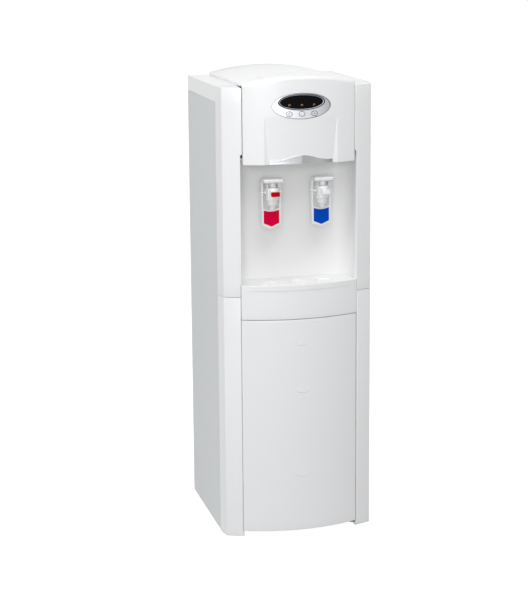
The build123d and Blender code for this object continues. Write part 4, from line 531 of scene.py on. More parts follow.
def build_door(sizes):
    """The door: a bowed front whose edges roll over, over a tray-like shell. The face lies back by the
    height of its three smile-shaped reliefs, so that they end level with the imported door."""
    near, far, sines = edge_stations(door_low[0] - seam_lap, door_high[0], sizes.edge)
    reach = max(smile[1] for smile in smiles) + smile_beside
    fine = np.arange(-reach, reach + smile_step / 2, smile_step)
    sides = np.linspace(near[-1], -reach, 14)[1:-1], np.linspace(reach, far[0], 14)[1:-1]
    xs = np.concatenate((near, sides[0], fine, sides[1], far))
    sin_x = np.concatenate((sines, np.ones(len(xs) - 2 * len(sines)), sines[::-1]))
    near, far, sines = edge_stations(door_low[2], door_high[2], sizes.edge)
    pieces, last = [near], near[-1]
    for bottom, _, _, tall in sorted(smiles):
        start, end = bottom - smile_run_out - smile_above, bottom + tall + smile_above
        pieces += [np.linspace(last, start, 9)[1:-1], np.arange(start, end, smile_step)]
        last = pieces[-1][-1]
    zs = np.concatenate((*pieces, np.linspace(last, far[0], 6)[1:-1], far))
    sin_z = np.concatenate((sines, np.ones(len(zs) - 2 * len(sines)), sines[::-1]))

    def relief(x, z):
        """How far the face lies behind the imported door."""
        return sizes.smile - smile_height(x, z, sizes.smile)

    def back_y(x):
        """Rear of the door at x: deep behind the middle, thin beside the hinge, with a slope between."""
        return np.interp(x, (slope_end, thin_end), (door_high[1], thin_back))

    front = bowed_face(xs, zs, sin_x, sin_z, sizes.edge, relief)
    box_shell(front, back_y, door_wall, door_flange, "door_shell", "gloss_white", "door", ["door_skin"])


apron_floor = 0.0025
apron_rear_round = 0.0005
apron_end_share = 0.6  # rounding of the apron's top and bottom, as a share of the rolled edge
floor_lap = 0.0003  # how far the floors reach into the wall
basin_gap = 0.0003
crease_drop = 0.0135  # crease below the apron's top
crease_band = 0.0009  # height of the ramp at the crease
crease_fade = 0.035  # the set-back under the crease dies out over this height
crease_end = 1 / 3.2  # and over this share of the half width
crease_near = 0.003  # fine mesh above and below the crease
crease_step = 0.0004


def build_apron(sizes):
    """The apron under the deck: rings of a thin bowed wall in plan, stacked along Z, over two floors. Under
    the crease the wall steps back by a smooth ramp that fades out downwards and towards both ends."""
    half, back, top = apron_high[0], apron_high[1], apron_high[2]
    crease_z = top - crease_drop
    across = np.linspace(-half, half, 71)
    inner = across[1:-1] * (half - door_wall) / across[-2]
    outline = np.concatenate((
        np.stack((across, front_y(across)), axis=1),
        [(half, back), (half - door_wall, back)],
        np.stack((inner[::-1], front_y(inner[::-1], door_wall)), axis=1),
        [(door_wall - half, back), (-half, back)],
    ))
    radii = np.full(len(outline), crisp)
    radii[[0, len(across) - 1]] = sizes.edge
    radii[[len(across), len(across) + 1, -2, -1]] = apron_rear_round
    along, draw = edge_arc(sizes.edge * apron_end_share, 5)
    first, last = crease_z - crease_near, crease_z + crease_near
    middle = np.concatenate((
        np.linspace(apron_low[2] + along[-1], first, 8)[1:],
        np.arange(first + crease_step, last - crease_step / 2, crease_step),
        np.linspace(last, top - along[-1], 6)[:-1],
    ))
    stations = np.concatenate((apron_low[2] + along, middle, top - along[::-1]))
    insets = np.concatenate((draw, np.zeros(len(middle)), draw[::-1]))
    rings = []
    for z, inset in zip(stations, insets):
        flat = drawn_in(outline, radii, inset, 5)
        rise = np.clip((crease_z - z) / crease_band + 0.5, 0, 1)
        ends = np.clip((1 - np.abs(flat[:, 0]) / half) / crease_end, 0, 1)
        up = np.clip((z - crease_z) / crease_fade + 1, 0, 1)
        outer = flat[:, 1] < front_y(np.clip(flat[:, 0], -half, half), door_wall / 2)
        flat[:, 1] += sizes.crease * smooth(rise) * smooth(ends) * up * outer
        rings.append(level_ring(flat, z))
    rings = np.array(rings)
    grids, loops = [ring_grid(rings)], [rings[0], rings[-1]]
    floor_half = half - door_wall + floor_lap
    reach = np.linspace(-floor_half, floor_half, 41)
    floor = np.concatenate((
        np.stack((reach, front_y(reach, door_wall - floor_lap)), axis=1),
        [(floor_half, back), (-floor_half, back)],
    ))
    basin_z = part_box("drip_basin")[0][2] - basin_gap
    for low, high in ((apron_low[2], apron_low[2] + apron_floor), (basin_z - apron_floor, basin_z)):
        slab = np.stack([level_ring(floor, z) for z in (low, high)])
        grids.append(ring_grid(slab))
        loops += [slab[0], slab[1]]
    place_mesh("apron_shell", grids, "gloss_white", "cabinet", ["apron"], polygons=loops, sharp=30)


dish_radius = 0.0185
dish_spacing = 0.063
dish_set_back = 0.042  # centres of the dishes behind the bow's crown
lip_rise, lip_sink = 0.0007, 0.001  # a lip's top above the deck, and its foot below
lip_inner, lip_outer = dish_radius - 0.0002, dish_radius + 0.0013
lip_slope = 0.0002  # how far its outer side leans in


def build_dish_rims():
    """The raised lips of the deck's three dishes, each a small rounded profile turned about the dish's
    axis."""
    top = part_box("drip_deck")[1][2]
    low, high = top - lip_sink, top + lip_rise
    lip = rounded_profile(
        [(lip_inner, low), (lip_inner, high), (lip_outer - lip_slope, high), (lip_outer, low)],
        [0, 0.0003, 0.0004, 0], 4,
    )
    lip = np.concatenate((lip, lip[:1]))
    grids = [lathe(lip, (way * dish_spacing, y_crown + dish_set_back, 0), turns=56) for way in (-1, 0, 1)]
    place_mesh("dish_rims", grids, "alcove_plastic", "drip_deck_body")


# ------------------------------------------------------------------ pillars
half_width = frame_high[0]
corner_x = half_width - 0.0065  # the pillar's front corner
y_corner = y_crown + 0.044
chamfer_y = y_corner + 0.035  # where its slanted side meets the side panel
pillar_wall = 0.003
pillar_back = y_corner + 0.0127  # rear of its inner wall
tongue_back = chamfer_y + 0.014
tongue_outer = half_width - 0.0013
pillar_end = 0.0007  # rounding of its ends
pillar_fall = 0.003  # drop of its top towards the front
wall_slack = 0.0008  # the inner wall's corner lies this much further back
hair = 1e-5  # keeps two corners apart
foot_gap = 0.0006  # between the door and the pillars' feet
alcove_step = 0.0038  # how much further apart the pillars are beside the recess than beside the head
notch_rise = 0.024  # end of that stretch above the foot of the head cover
skirt_z = frame_low[2] - 0.0003


def pillar_corners(inner, tongue=True):
    """Corners of the right pillar in plan, counter-clockwise: a thin wall round the front and a tongue
    behind the side panel, or the same corners drawn back to one solid cap."""
    face_y = y_corner + (corner_x - inner) / (corner_x - bay_half) * (y_edge - y_corner)
    wall = pillar_wall
    shape = [
        (half_width, chamfer_y),
        (tongue_outer, chamfer_y + hair),
        (tongue_outer, tongue_back),
        (tongue_outer - wall, tongue_back),
        (tongue_outer - wall, chamfer_y + hair),
        (corner_x - wall, y_corner + wall),
        (inner + wall, face_y + wall + wall_slack),
        (inner + wall, pillar_back),
        (inner, pillar_back),
        (inner, face_y),
        (corner_x, y_corner),
    ]
    if not tongue:
        across = np.linspace(half_width, inner, 9)
        shape[:9] = [(x, chamfer_y) for x in across]
    return np.array(shape)


pillar_radii = np.array(  # of those corners, in the same order
    [0.0008, 0.0002, 0.0005, 0.0005, 0.0002, 0.001, 0.001, 0.0008, 0.0008, 0.0018, 0.0016]
)


def pillar_ring(inner, z, inset=0.0, tongue=True, fall=0.0):
    """One ring of the right pillar; with a fall, its height drops towards the front."""
    flat = drawn_in(pillar_corners(inner, tongue), pillar_radii, inset, 6)
    drop = fall * np.clip((chamfer_y - flat[:, 1]) / (chamfer_y - y_edge), 0, 1)
    return level_ring(flat, z - drop)


def build_pillars():
    """The four pillar shells: rings of the plan stacked along Z, drawn in at the ends, and mirrored for the
    left."""
    along, draw = edge_arc(pillar_end, 4)
    foot_z = door_low[2] - foot_gap
    alcove_half, head_half = upper_low[0] + alcove_step, upper_low[0]
    notch_z = head_low[2] + notch_rise
    lower = [pillar_ring(lower_low[0], lower_low[2] + a, d) for a, d in zip(along, draw)]
    lower += [pillar_ring(lower_low[0], foot_z), pillar_ring(bay_half, foot_z)]
    lower += [pillar_ring(bay_half, lower_high[2] - a, d) for a, d in zip(along[::-1], draw[::-1])]
    upper = [pillar_ring(bay_half, upper_low[2] + a, d) for a, d in zip(along, draw)]
    upper += [pillar_ring(bay_half, apron_high[2]), pillar_ring(alcove_half, apron_high[2])]
    upper += [pillar_ring(alcove_half, notch_z), pillar_ring(head_half, notch_z)]
    upper += [pillar_ring(head_half, skirt_z), pillar_ring(head_half, skirt_z, tongue=False)]
    top = upper_high[2]
    upper += [
        pillar_ring(head_half, top - a, d, tongue=False, fall=pillar_fall)
        for a, d in zip(along[::-1], draw[::-1])
    ]
    for rings, part in ((np.array(lower), "lower"), (np.array(upper), "upper")):
        for side, way in (("right", 1), ("left", -1)):
            turned = rings * (way, 1, 1)
            name = f"pillar_{part}_{side}"
            place_mesh(f"{name}_shell", [ring_grid(turned)], "gloss_white", "cabinet", [name],
                       polygons=[turned[0], turned[-1]], sharp=30)


# ------------------------------------------------------------------ lid
lid_edge = 0.003
lid_front_edge = 0.0008
lid_rear_edge = 0.0035
lid_shoulder = 0.007  # height of the straight sides under the arch
brow_gap = 0.0002  # between the brow's line and the lid, and again the head cover
brow_mid = y_crown + 0.1015  # middle and ends of the brow's line
brow_end = y_edge + 0.010
arch_rise = lid_high[2] - (lid_low[2] + lid_shoulder)
arch_radius = (lid_high[0] ** 2 + arch_rise**2) / (2 * arch_rise)
brow_rise = brow_mid - brow_end
brow_radius = (lid_high[0] ** 2 + brow_rise**2) / (2 * brow_rise)


def arch_z(x):
    """Height of the lid's arch at x: a circle through its crown and its shoulders."""
    return lid_high[2] - arch_radius + np.sqrt(arch_radius**2 - np.square(x))


def brow_y(x):
    """Y of the brow's line at x: a circle through its middle and its ends."""
    return brow_mid - brow_radius + np.sqrt(brow_radius**2 - np.square(x))


def build_lid():
    """The domed lid. Its section is upright sides under one arch, with rounded shoulders, carried back from
    the curved brow; the rear end is rounded over."""
    half, foot = lid_high[0], lid_low[2]
    spread = math.asin(half / arch_radius)
    angle = np.linspace(-spread, spread, 49)[::-1]
    arch = np.stack((
        arch_radius * np.sin(angle), lid_high[2] - arch_radius + arch_radius * np.cos(angle)
    ), axis=1)
    outline = np.concatenate((arch, [(-half, foot), (half, foot)]))
    radii = np.full(len(outline), crisp)
    radii[[0, 48]] = lid_edge
    keep = np.abs(outline[:, 0]) <= half - 1.6 * lid_edge  # room for the shoulders' arcs
    keep[[0, 48, 49, 50]] = True
    rings = []
    for edge, steps, way in ((lid_front_edge, 4, 1), (lid_rear_edge, 6, -1)):
        along, draw = edge_arc(edge, steps)
        for ahead, inset in zip(along[::way], draw[::way]):
            flat = drawn_in(outline[keep], radii[keep], inset, 5)
            x, z = flat[:, 0], flat[:, 1]
            rings.append(grid_of(x, brow_y(x) + brow_gap + ahead if way > 0 else lid_high[1] - ahead, z))
    rings = np.array(rings)
    place_mesh("lid_shell", [ring_grid(rings)], "gloss_white", "cabinet", ["top_lid"],
               polygons=[rings[0], rings[-1]], sharp=30)


# ------------------------------------------------------------------ head cover
cover_wall = 0.003
cover_corner = 0.004  # rounded lower corners of the head cover
cover_side_edge = 0.002
cover_foot_edge = 0.0012
cover_top_edge = 0.009
cover_brow_edge = 0.0009
bezel_gap = 0.0009
facet_inner = 0.078  # x of the crease at the foot of the sunk panel
facet_outer = 0.088  # x where its slope meets the face
facet_top = 1.012  # height where the panel starts to sink
facet_depth = 0.0042
facet_power = 0.8  # the panel sinks by this power of the way down
facet_start = 0.03  # width of the slope at its top, as a share of its width at the foot
facet_near = 0.0004  # columns of the mesh beside each crease
bezel_low, bezel_high = corners("display_bezel")
bezel_half, bezel_z = bezel_high[0], (bezel_low[2] + bezel_high[2]) / 2
bezel_rise = (bezel_high[2] - bezel_low[2]) / 2
ring_low, ring_high = corners("display_ring")
ring_half, ring_z = ring_high[0], (ring_low[2] + ring_high[2]) / 2
ring_rise = (ring_high[2] - ring_low[2]) / 2
window_low, window_high = corners("display_window")
window_half, window_z = window_high[0], (window_low[2] + window_high[2]) / 2
window_rise = (window_high[2] - window_low[2]) / 2


def build_head_cover():
    """The head cover: a bowed front that rolls over a round edge into an arched top, back to the curved
    brow, with rolled sides, rounded lower corners, an oval hole for the display, and a panel that sinks
    towards the foot between two sloping facets. Columns follow the facets and rows follow the oval, so both
    are exact."""
    half, foot = head_high[0], head_low[2]
    hole, hole_rise = bezel_half + bezel_gap, bezel_rise + bezel_gap
    _, far, sines = edge_stations(0, half, cover_side_edge)
    column = np.concatenate((
        hole * np.sin(np.linspace(0, np.pi / 2, 41)),
        (0.0725, 0.0755, facet_inner - facet_near, facet_inner, facet_inner + facet_near),
        (0.081, 0.0845, facet_outer - facet_near, facet_outer, facet_outer + facet_near),
        np.linspace(facet_outer, far[0], 12)[1:-1],
        far,
    ))
    side_roll = cover_side_edge * (1 - np.concatenate((np.ones(len(column) - len(far)), sines[::-1])))
    column = np.concatenate((-column[:0:-1], column))
    side_roll = np.concatenate((side_roll[:0:-1], side_roll))
    size = np.abs(column)
    root = np.sqrt(np.clip(1 - (size / hole) ** 2, 0, 1))
    lower_lip, upper_lip = bezel_z - hole_rise * root, bezel_z + hole_rise * root

    def placed(z, roll):
        """Points of the front at the heights z: each column slides along the facets, and the face is sunk
        by the panel's depth, which grows from nothing at its top to its foot."""
        down = np.clip((facet_top - z) / (facet_top - foot), 0, 1)
        inner = facet_outer - (facet_outer - facet_inner) * (facet_start + (1 - facet_start) * down)
        across = np.where(size < facet_inner, hole + (size - hole) * (inner - hole) / (facet_inner - hole),
                          inner + (size - facet_inner) * (facet_outer - inner) / (facet_outer - facet_inner))
        x = np.sign(column) * np.where((size > hole) & (size < facet_outer), across, size)
        slope = np.clip((facet_outer - size) / (facet_outer - facet_inner), 0, 1)
        return on_front(x, z, facet_depth * down**facet_power * slope + roll + side_roll)

    def front(low, high, count):
        """Rows of the front between two heights that vary from column to column."""
        share = np.linspace(0, 1, count)[:, None]
        return placed(low + share * (high - low), 0)

    corner = np.clip(size - (half - cover_corner), 0, cover_corner)
    lip = foot + cover_corner - np.sqrt(cover_corner**2 - corner**2)
    turn = np.linspace(0, np.pi / 2, 6)[:-1, None]
    foot_rows = placed(lip + cover_foot_edge * (1 - np.cos(turn)), cover_foot_edge * (1 - np.sin(turn)))
    below = np.concatenate((foot_rows, front(lip + cover_foot_edge, lower_lip, 44)))
    top = arch_z(column)
    above = front(upper_lip, top - cover_top_edge, 16)
    turn = np.linspace(0, np.pi / 2, 12)[1:, None]
    x = above[-1, :, 0]
    over = on_front(
        x,
        top - cover_top_edge * (1 - np.sin(turn)) - side_roll * np.sin(turn),
        cover_top_edge * (1 - np.cos(turn)) + side_roll * np.cos(turn),
    )
    start, end = front_y(x) + cover_top_edge, brow_y(x) - brow_gap
    share = np.linspace(0, 1, 15)[1:, None]
    back = grid_of(x, start + share * (end - cover_brow_edge - start), top - side_roll)
    down = np.linspace(np.pi / 2, 0, 6)[1:, None]
    roll = grid_of(
        x, end - cover_brow_edge * (1 - np.cos(down)), top - side_roll - cover_brow_edge * (1 - np.sin(down))
    )
    upper = np.concatenate((above, over, back, roll))
    tilt = np.concatenate((np.zeros(len(above)), turn[:, 0], np.full(len(back) + len(roll), np.pi / 2)))
    inside_below = below + (0, cover_wall, 0)
    inside_upper = upper + cover_wall * np.stack((0 * tilt, np.cos(tilt), -np.sin(tilt)), axis=-1)[:, None]
    in_hole = np.flatnonzero(size <= hole)
    strips = []
    for outer, inner in ((below, inside_below), (upper, inside_upper)):
        strips += [np.stack((outer[:, c], inner[:, c])) for c in (0, -1)]
    strips += [np.stack((below[0], inside_below[0])), np.stack((upper[-1], inside_upper[-1]))]
    strips += [np.stack((below[-1, in_hole], inside_below[-1, in_hole]))]
    strips += [np.stack((upper[0, in_hole], inside_upper[0, in_hole]))]
    place_mesh("head_cover_shell", [below, upper, inside_below, inside_upper, *strips], "gloss_white",
               "cabinet", ["head_cover"], sharp=40)


# ------------------------------------------------------------------ display
def oval(half, rise, z, count=160):
    """Points of an ellipse in X and Z."""
    angle = np.linspace(0, 2 * np.pi, count, endpoint=False)
    return np.stack((half * np.cos(angle), z + rise * np.sin(angle)), axis=1)


grid_within = 0.985  # points of a plate's grid lie inside its outline by this scale
grid_off = 0.03  # and at least this share of its size away from an inner line
hole_clear = 1.02


def holed_plate(name, outer, holes, depth, thickness, step, slot, replaced, loops=()):
    """A plate over the bow with holes: points on a grid between the outline and the holes, joined into
    triangles that keep every loop as an edge; their depth behind the bow is a function of x and z."""
    columns, rows = (np.arange(*ends, step) for ends in zip(outer.min(axis=0), outer.max(axis=0)))
    grid = np.stack(np.meshgrid(columns, rows), axis=-1).reshape(-1, 2)
    rings = [outer, *holes, *loops]

    def inside(points, ring, margin=1.0):
        """Whether points lie inside a convex ring, scaled about its centre."""
        centre = ring.mean(axis=0)
        start = centre + (ring - centre) * margin
        side = np.roll(start, -1, axis=0) - start
        gap = points[:, None] - start[None]
        return np.all(side[None, :, 0] * gap[..., 1] - side[None, :, 1] * gap[..., 0] > 0, axis=1)

    keep = inside(grid, outer, grid_within)
    for ring in (*holes, *loops):
        keep &= ~(inside(grid, ring, 1 + grid_off) & ~inside(grid, ring, 1 - grid_off))
    for ring in holes:
        keep &= ~inside(grid, ring, hole_clear)
    flat = np.concatenate((*rings, grid[keep]))
    edges, start = [], 0
    for ring in rings:
        index = start + np.arange(len(ring))
        edges += np.stack((index, np.roll(index, -1)), axis=1).tolist()
        start += len(ring)
    spots, _, faces, *_ = delaunay_2d_cdt([Vector(p) for p in flat.tolist()], edges, [], 1, 1e-9)
    spots = np.array([tuple(p) for p in spots])
    faces = np.array([f for f in faces if len(f) == 3])
    middle = spots[faces].mean(axis=1)
    open_faces = np.zeros(len(faces), bool)
    for ring in holes:
        open_faces |= inside(middle, ring)
    faces = faces[~open_faces & inside(middle, outer, 1.001)]
    x, z = spots.T
    rear = depth(x, z).max() + thickness
    walls = []
    for ring in (outer, *holes):
        edge_x, edge_z = ring.T
        walls.append(ring_grid([
            on_front(edge_x, edge_z, depth(edge_x, edge_z)), on_front(edge_x, edge_z, rear)
        ]))
    sides = [(on_front(x, z, depth(x, z)), faces), (on_front(x, z, rear), faces)]
    return place_mesh(name, walls, slot, "cabinet", replaced, loose=sides, sharp=35)


button_x = (-0.030, 0.0, 0.030)
button_radius = 0.0052
button_hole = 0.0055
button_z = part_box("button_centre")[0][2] + button_radius
ring_gap = 0.0003
bezel_wall = 0.004
bezel_grid = 0.0016  # spacing of the bezel's mesh
bezel_back, bezel_swell = 0.0006, 0.0010  # depth of the crown behind the bow, and its fall towards the edge
bezel_edge, bezel_edge_fall = 0.0012, 0.0008  # width and fall of its rounded edge
bezel_ease = 2.2
glass_depth = 0.0014  # window behind the bow
glass_wall = 0.0021
glass_edge = 0.0003  # fall of its edge, over the outer 3 % of its size


def build_display():
    """The oval display: a crowned bezel with holes for its ring and buttons, a dark ring with a pale lip
    inside it, and a black window that follows the bow."""
    buttons = [oval(button_hole, button_hole, button_z, 40) + (x0, 0) for x0 in button_x]

    def crown(x, z):
        """Depth of the bezel: it stands highest round the ring and falls away by a quarter circle to its
        edge."""
        out = np.sqrt((x / bezel_half) ** 2 + ((z - bezel_z) / bezel_rise) ** 2)
        within = np.sqrt((x / ring_half) ** 2 + ((z - ring_z) / ring_rise) ** 2)
        share = np.clip((within - 1) / np.maximum((within - 1) + (1 - out) * bezel_ease, 1e-6), 0, 1)
        edge = np.clip(1 - (1 - out) * bezel_rise / bezel_edge, 0, 1)
        return bezel_back + bezel_swell * share**2 + bezel_edge_fall * (1 - np.sqrt(1 - edge**2))

    near_edge = [oval(bezel_half - d, bezel_rise - d, bezel_z, 200) for d in (0.0002, 0.0006, bezel_edge)]
    holes = [oval(ring_half + ring_gap, ring_rise + ring_gap, ring_z), *buttons]
    face = holed_plate("bezel_face", oval(bezel_half, bezel_rise, bezel_z, 200), holes, crown, bezel_wall,
                       bezel_grid, "silver_plastic", ["display_bezel"], near_edge)
    # the bezel's colour carries a painted reflection, bright on the left and shaded on the right
    face.data.materials[0] = silver_finish("bezel", bpy.context.scene.cooler_colours.silver, bezel_painted_reflection)
    band = (  # width and height beyond the window's, and depth behind the bow
        (0.0051, 0.0032, 0.0040), (0.0051, 0.0032, 0.0007), (0.0047, 0.0029, 0.0003),
        (0.0036, 0.0023, 0.0001), (0.0024, 0.0016, 0.0004), (0.0016, 0.0011, 0.0009),
        (0.0016, 0.0011, 0.0040),
    )
    ring_pieces("ring_band", band, "blue_grey_plastic", ["display_ring"])
    lip = (  # the same for the pale lip
        (0.0016, 0.0011, 0.0040), (0.0016, 0.0011, 0.0005), (0.0013, 0.0009, 0.0003),
        (0.0009, 0.0006, 0.0005), (0.0003, 0.0003, 0.0013), (0.0003, 0.0003, 0.0040),
    )
    ring_pieces("ring_lip", lip, "silver_plastic", ())
    angle = np.linspace(0, 2 * np.pi, 121)
    share = np.concatenate((np.linspace(0, 0.97, 16), (0.985, 1.0)))[:, None]
    x, z = window_half * share * np.cos(angle), window_z + window_rise * share * np.sin(angle)
    glass = on_front(x, z, glass_depth + glass_edge * np.clip(share - 0.97, 0, 1) / 0.03)
    rear = glass[::-1] + (0, glass_wall, 0)
    place_mesh("window_glass", [np.concatenate((glass, rear))], "black_window", "cabinet", ["display_window"])


def ring_pieces(name, band, slot, replaced):
    """A band carried round an ellipse: each row gives its width and height beyond the window's, and its
    depth."""
    angle = np.linspace(0, 2 * np.pi, 161)
    wide, high, deep = (np.array(part)[:, None] for part in zip(*band))
    x = (window_half + wide) * np.cos(angle)
    z = window_z + (window_rise + high) * np.sin(angle)
    grid = on_front(x, z, deep)
    place_mesh(name, [np.concatenate((grid, grid[:1]))], slot, "cabinet", replaced, sharp=50)


# ------------------------------------------------------------------ trim
trim_end = 0.008  # height of the trim at its ends
trim_edge = 0.0006
trim_face = 0.0019  # its face behind the bow
trim_back = 0.0046
trim_ridge, trim_hollow = 0.00088, 0.0004  # how far the face swells and hollows
wave_reach = 0.92  # share of the half width that the wave takes
wave_power = 1.15
trim_roll = 0.06  # share of its height that each rounded edge takes


def build_trim():
    """The silver wave at the foot of the head cover: z runs from the foot to a wave that peaks in the
    middle, and the face rises to a soft ridge there."""
    half = trim_high[0]
    foot, peak = trim_low[2], trim_high[2]
    end_top = foot + trim_end
    corner = trim_edge * (1 - np.cos(np.linspace(0, np.pi / 2, 5)))
    left = np.concatenate((corner - half, np.linspace(trim_edge - half, 0, 41)[1:]))
    x = np.concatenate((left, -left[-2::-1]))
    share = np.abs(x) / half
    swing = 0.5 + 0.5 * np.cos(np.pi * np.clip(share / wave_reach, 0, 1))
    wave = end_top + (peak - end_top) * swing**wave_power
    across = np.sin(np.clip((half - np.abs(x)) / trim_edge, 0, 1) * np.pi / 2)
    v = np.concatenate((
        np.linspace(0, trim_roll, 5),
        np.linspace(trim_roll, 1 - trim_roll, 9)[1:-1],
        np.linspace(1 - trim_roll, 1, 5),
    ))
    up = np.sin(np.clip(np.minimum(v, 1 - v) / trim_roll, 0, 1) * np.pi / 2)
    grid_x, grid_v = np.meshgrid(x, v, indexing="ij")
    z = foot + grid_v * (wave[:, None] - foot)
    ridge = trim_ridge * (1 - share[:, None] ** 0.8)
    hollow = trim_hollow * np.sin(np.pi * grid_v)
    front = on_front(grid_x, z, trim_face - ridge + hollow + trim_edge * (1 - across[:, None] * up))
    border = rim(front)
    behind = border.copy()
    behind[:, 1] = front_y(border[:, 0]) + trim_back
    back = front.copy()
    back[..., 1] = front_y(grid_x) + trim_back
    piece = place_mesh("wave_trim", [front, ring_grid([border, behind]), back], "silver_plastic", "cabinet",
                       ["head_trim"])
    # the trim's colour carries a painted reflection, lit left of the ridge and shaded right of it
    piece.data.materials[0] = silver_finish("trim", bpy.context.scene.cooler_colours.silver, trim_painted_reflection)


# ------------------------------------------------------------------ taps
tap_x = 0.061
taps = (("hot", -tap_x), ("cold", tap_x))
recess_depth = 0.055
tap_reach = 0.055  # a tap's axis stands this far in front of the recess's wall
recess_y = y_corner + recess_depth
tap_y = recess_y - tap_reach
flange_gap = 0.0003
nozzle_drop = 0.0334  # tip of the nozzle below the tail's axis
collar_rise = 0.0195  # top of the collar above it
tap_tail_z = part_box("hot_tap_body")[0][2] + nozzle_drop
pivot_y, pivot_z = tap_y + 0.011, tap_tail_z + 0.0067
tab_half, tab_half_height = 0.0099, 0.00515
tab_z = tap_tail_z + 0.00765
tab_front = tap_y - 0.0345


def build_tap_body(side, x0):
    """A tap's body: a lathed barrel, collar and nozzle, a tail to the wall with its flange, and pivot
    bosses."""
    z0 = tap_tail_z
    barrel = rounded_profile(
        [(0.0036, -0.0326), (0.0036, -nozzle_drop), (0.0058, -nozzle_drop), (0.0074, -0.022),
         (0.0118, -0.022), (0.0118, -0.0116), (0.0124, -0.0104), (0.0154, -0.0094), (0.0154, -0.0062),
         (0.0146, -0.0054), (0.0146, 0.0122), (0.0156, 0.013), (0.0156, 0.0172), (0.0142, collar_rise),
         (0.0086, collar_rise), (0.0, collar_rise)],
        [0, 0.0002, 0.0009, 0.0006, 0.0014, 0.0003, 0.0006, 0.0006, 0.0003, 0.0004, 0.0004, 0.0003, 0.0008,
         0.001, 0.0004, 0],
    )
    bore = np.array([(0.0036, -0.0326), (0.0036, -0.012), (0.0, -0.012)])
    grids = [lathe(barrel, (x0, tap_y, z0)), lathe(bore, (x0, tap_y, z0))]
    wall_y = recess_y - flange_gap
    tail = rounded_profile(
        [(0.0, tap_y), (0.009, tap_y), (0.009, wall_y - 0.003), (0.0145, wall_y - 0.003), (0.0145, wall_y),
         (0.009, wall_y), (0.009, wall_y + 0.02), (0.0, wall_y + 0.02)],
        [0, 0, 0.0012, 0.001, 0.0003, 0.0002, 0.0006, 0],
    )
    grids.append(lathe(tail, (x0, 0, z0), "Y", 48))
    boss = rounded_profile(
        [(0.0, -0.017), (0.005, -0.017), (0.005, 0.017), (0.0, 0.017)], [0, 0.0006, 0.0006, 0], 4
    )
    grids.append(lathe(boss, (x0, pivot_y, pivot_z), "X", 32))
    face_y = tap_y - 0.023
    eye = rounded_profile(
        [(0.0, face_y), (0.0075, face_y), (0.0082, tap_y - 0.012), (0.0082, tap_y), (0.0, tap_y)],
        [0, 0.0009, 0.0004, 0, 0], 4,
    )
    grids.append(lathe(eye, (x0, 0, tab_z), "Y", 40))
    loops = []
    for way in (-1, 1):
        middle = x0 + way * 0.012
        web, caps = prism(
            rectangle(middle - 0.0012, middle + 0.0012, z0 - 0.004, z0 + 0.016),
            np.full(4, 0.0005), tap_y - 0.0125, tap_y - 0.004, 0.0004, "XZ", 4,
        )
        grids.append(web)
        loops += caps
    if side == "cold":
        tab, caps = tab_mesh(x0, face_y)
        grids += tab
        loops += caps
    place_mesh(f"{side}_tap_shell", grids, "gloss_white", "cabinet", [f"{side}_tap_body"], polygons=loops)


def tab_mesh(x0, back_y):
    """A small push tab: a rounded block in front of a tap."""
    outline = rectangle(x0 - tab_half, x0 + tab_half, tab_z - tab_half_height, tab_z + tab_half_height)
    grid, loops = prism(outline, np.full(4, 0.0018), tab_front, back_y, 0.0008, "XZ")
    return [grid], loops


opening_half = 0.0196  # half the width of the opening in a lever's frame
frame_half = 0.024
foot_half = 0.0226
insert_half = 0.0186
plate_dip = 0.004  # sag of the plate's upper edge
plate_corner = 3e-5  # radius of a corner that looks sharp
cheek_outer = 0.0210
peg_radius, lug_radius = 0.0022, 0.0032
peg_start, peg_end, lug_end = 0.011, 0.0205, 0.0262  # reach from the lever's middle


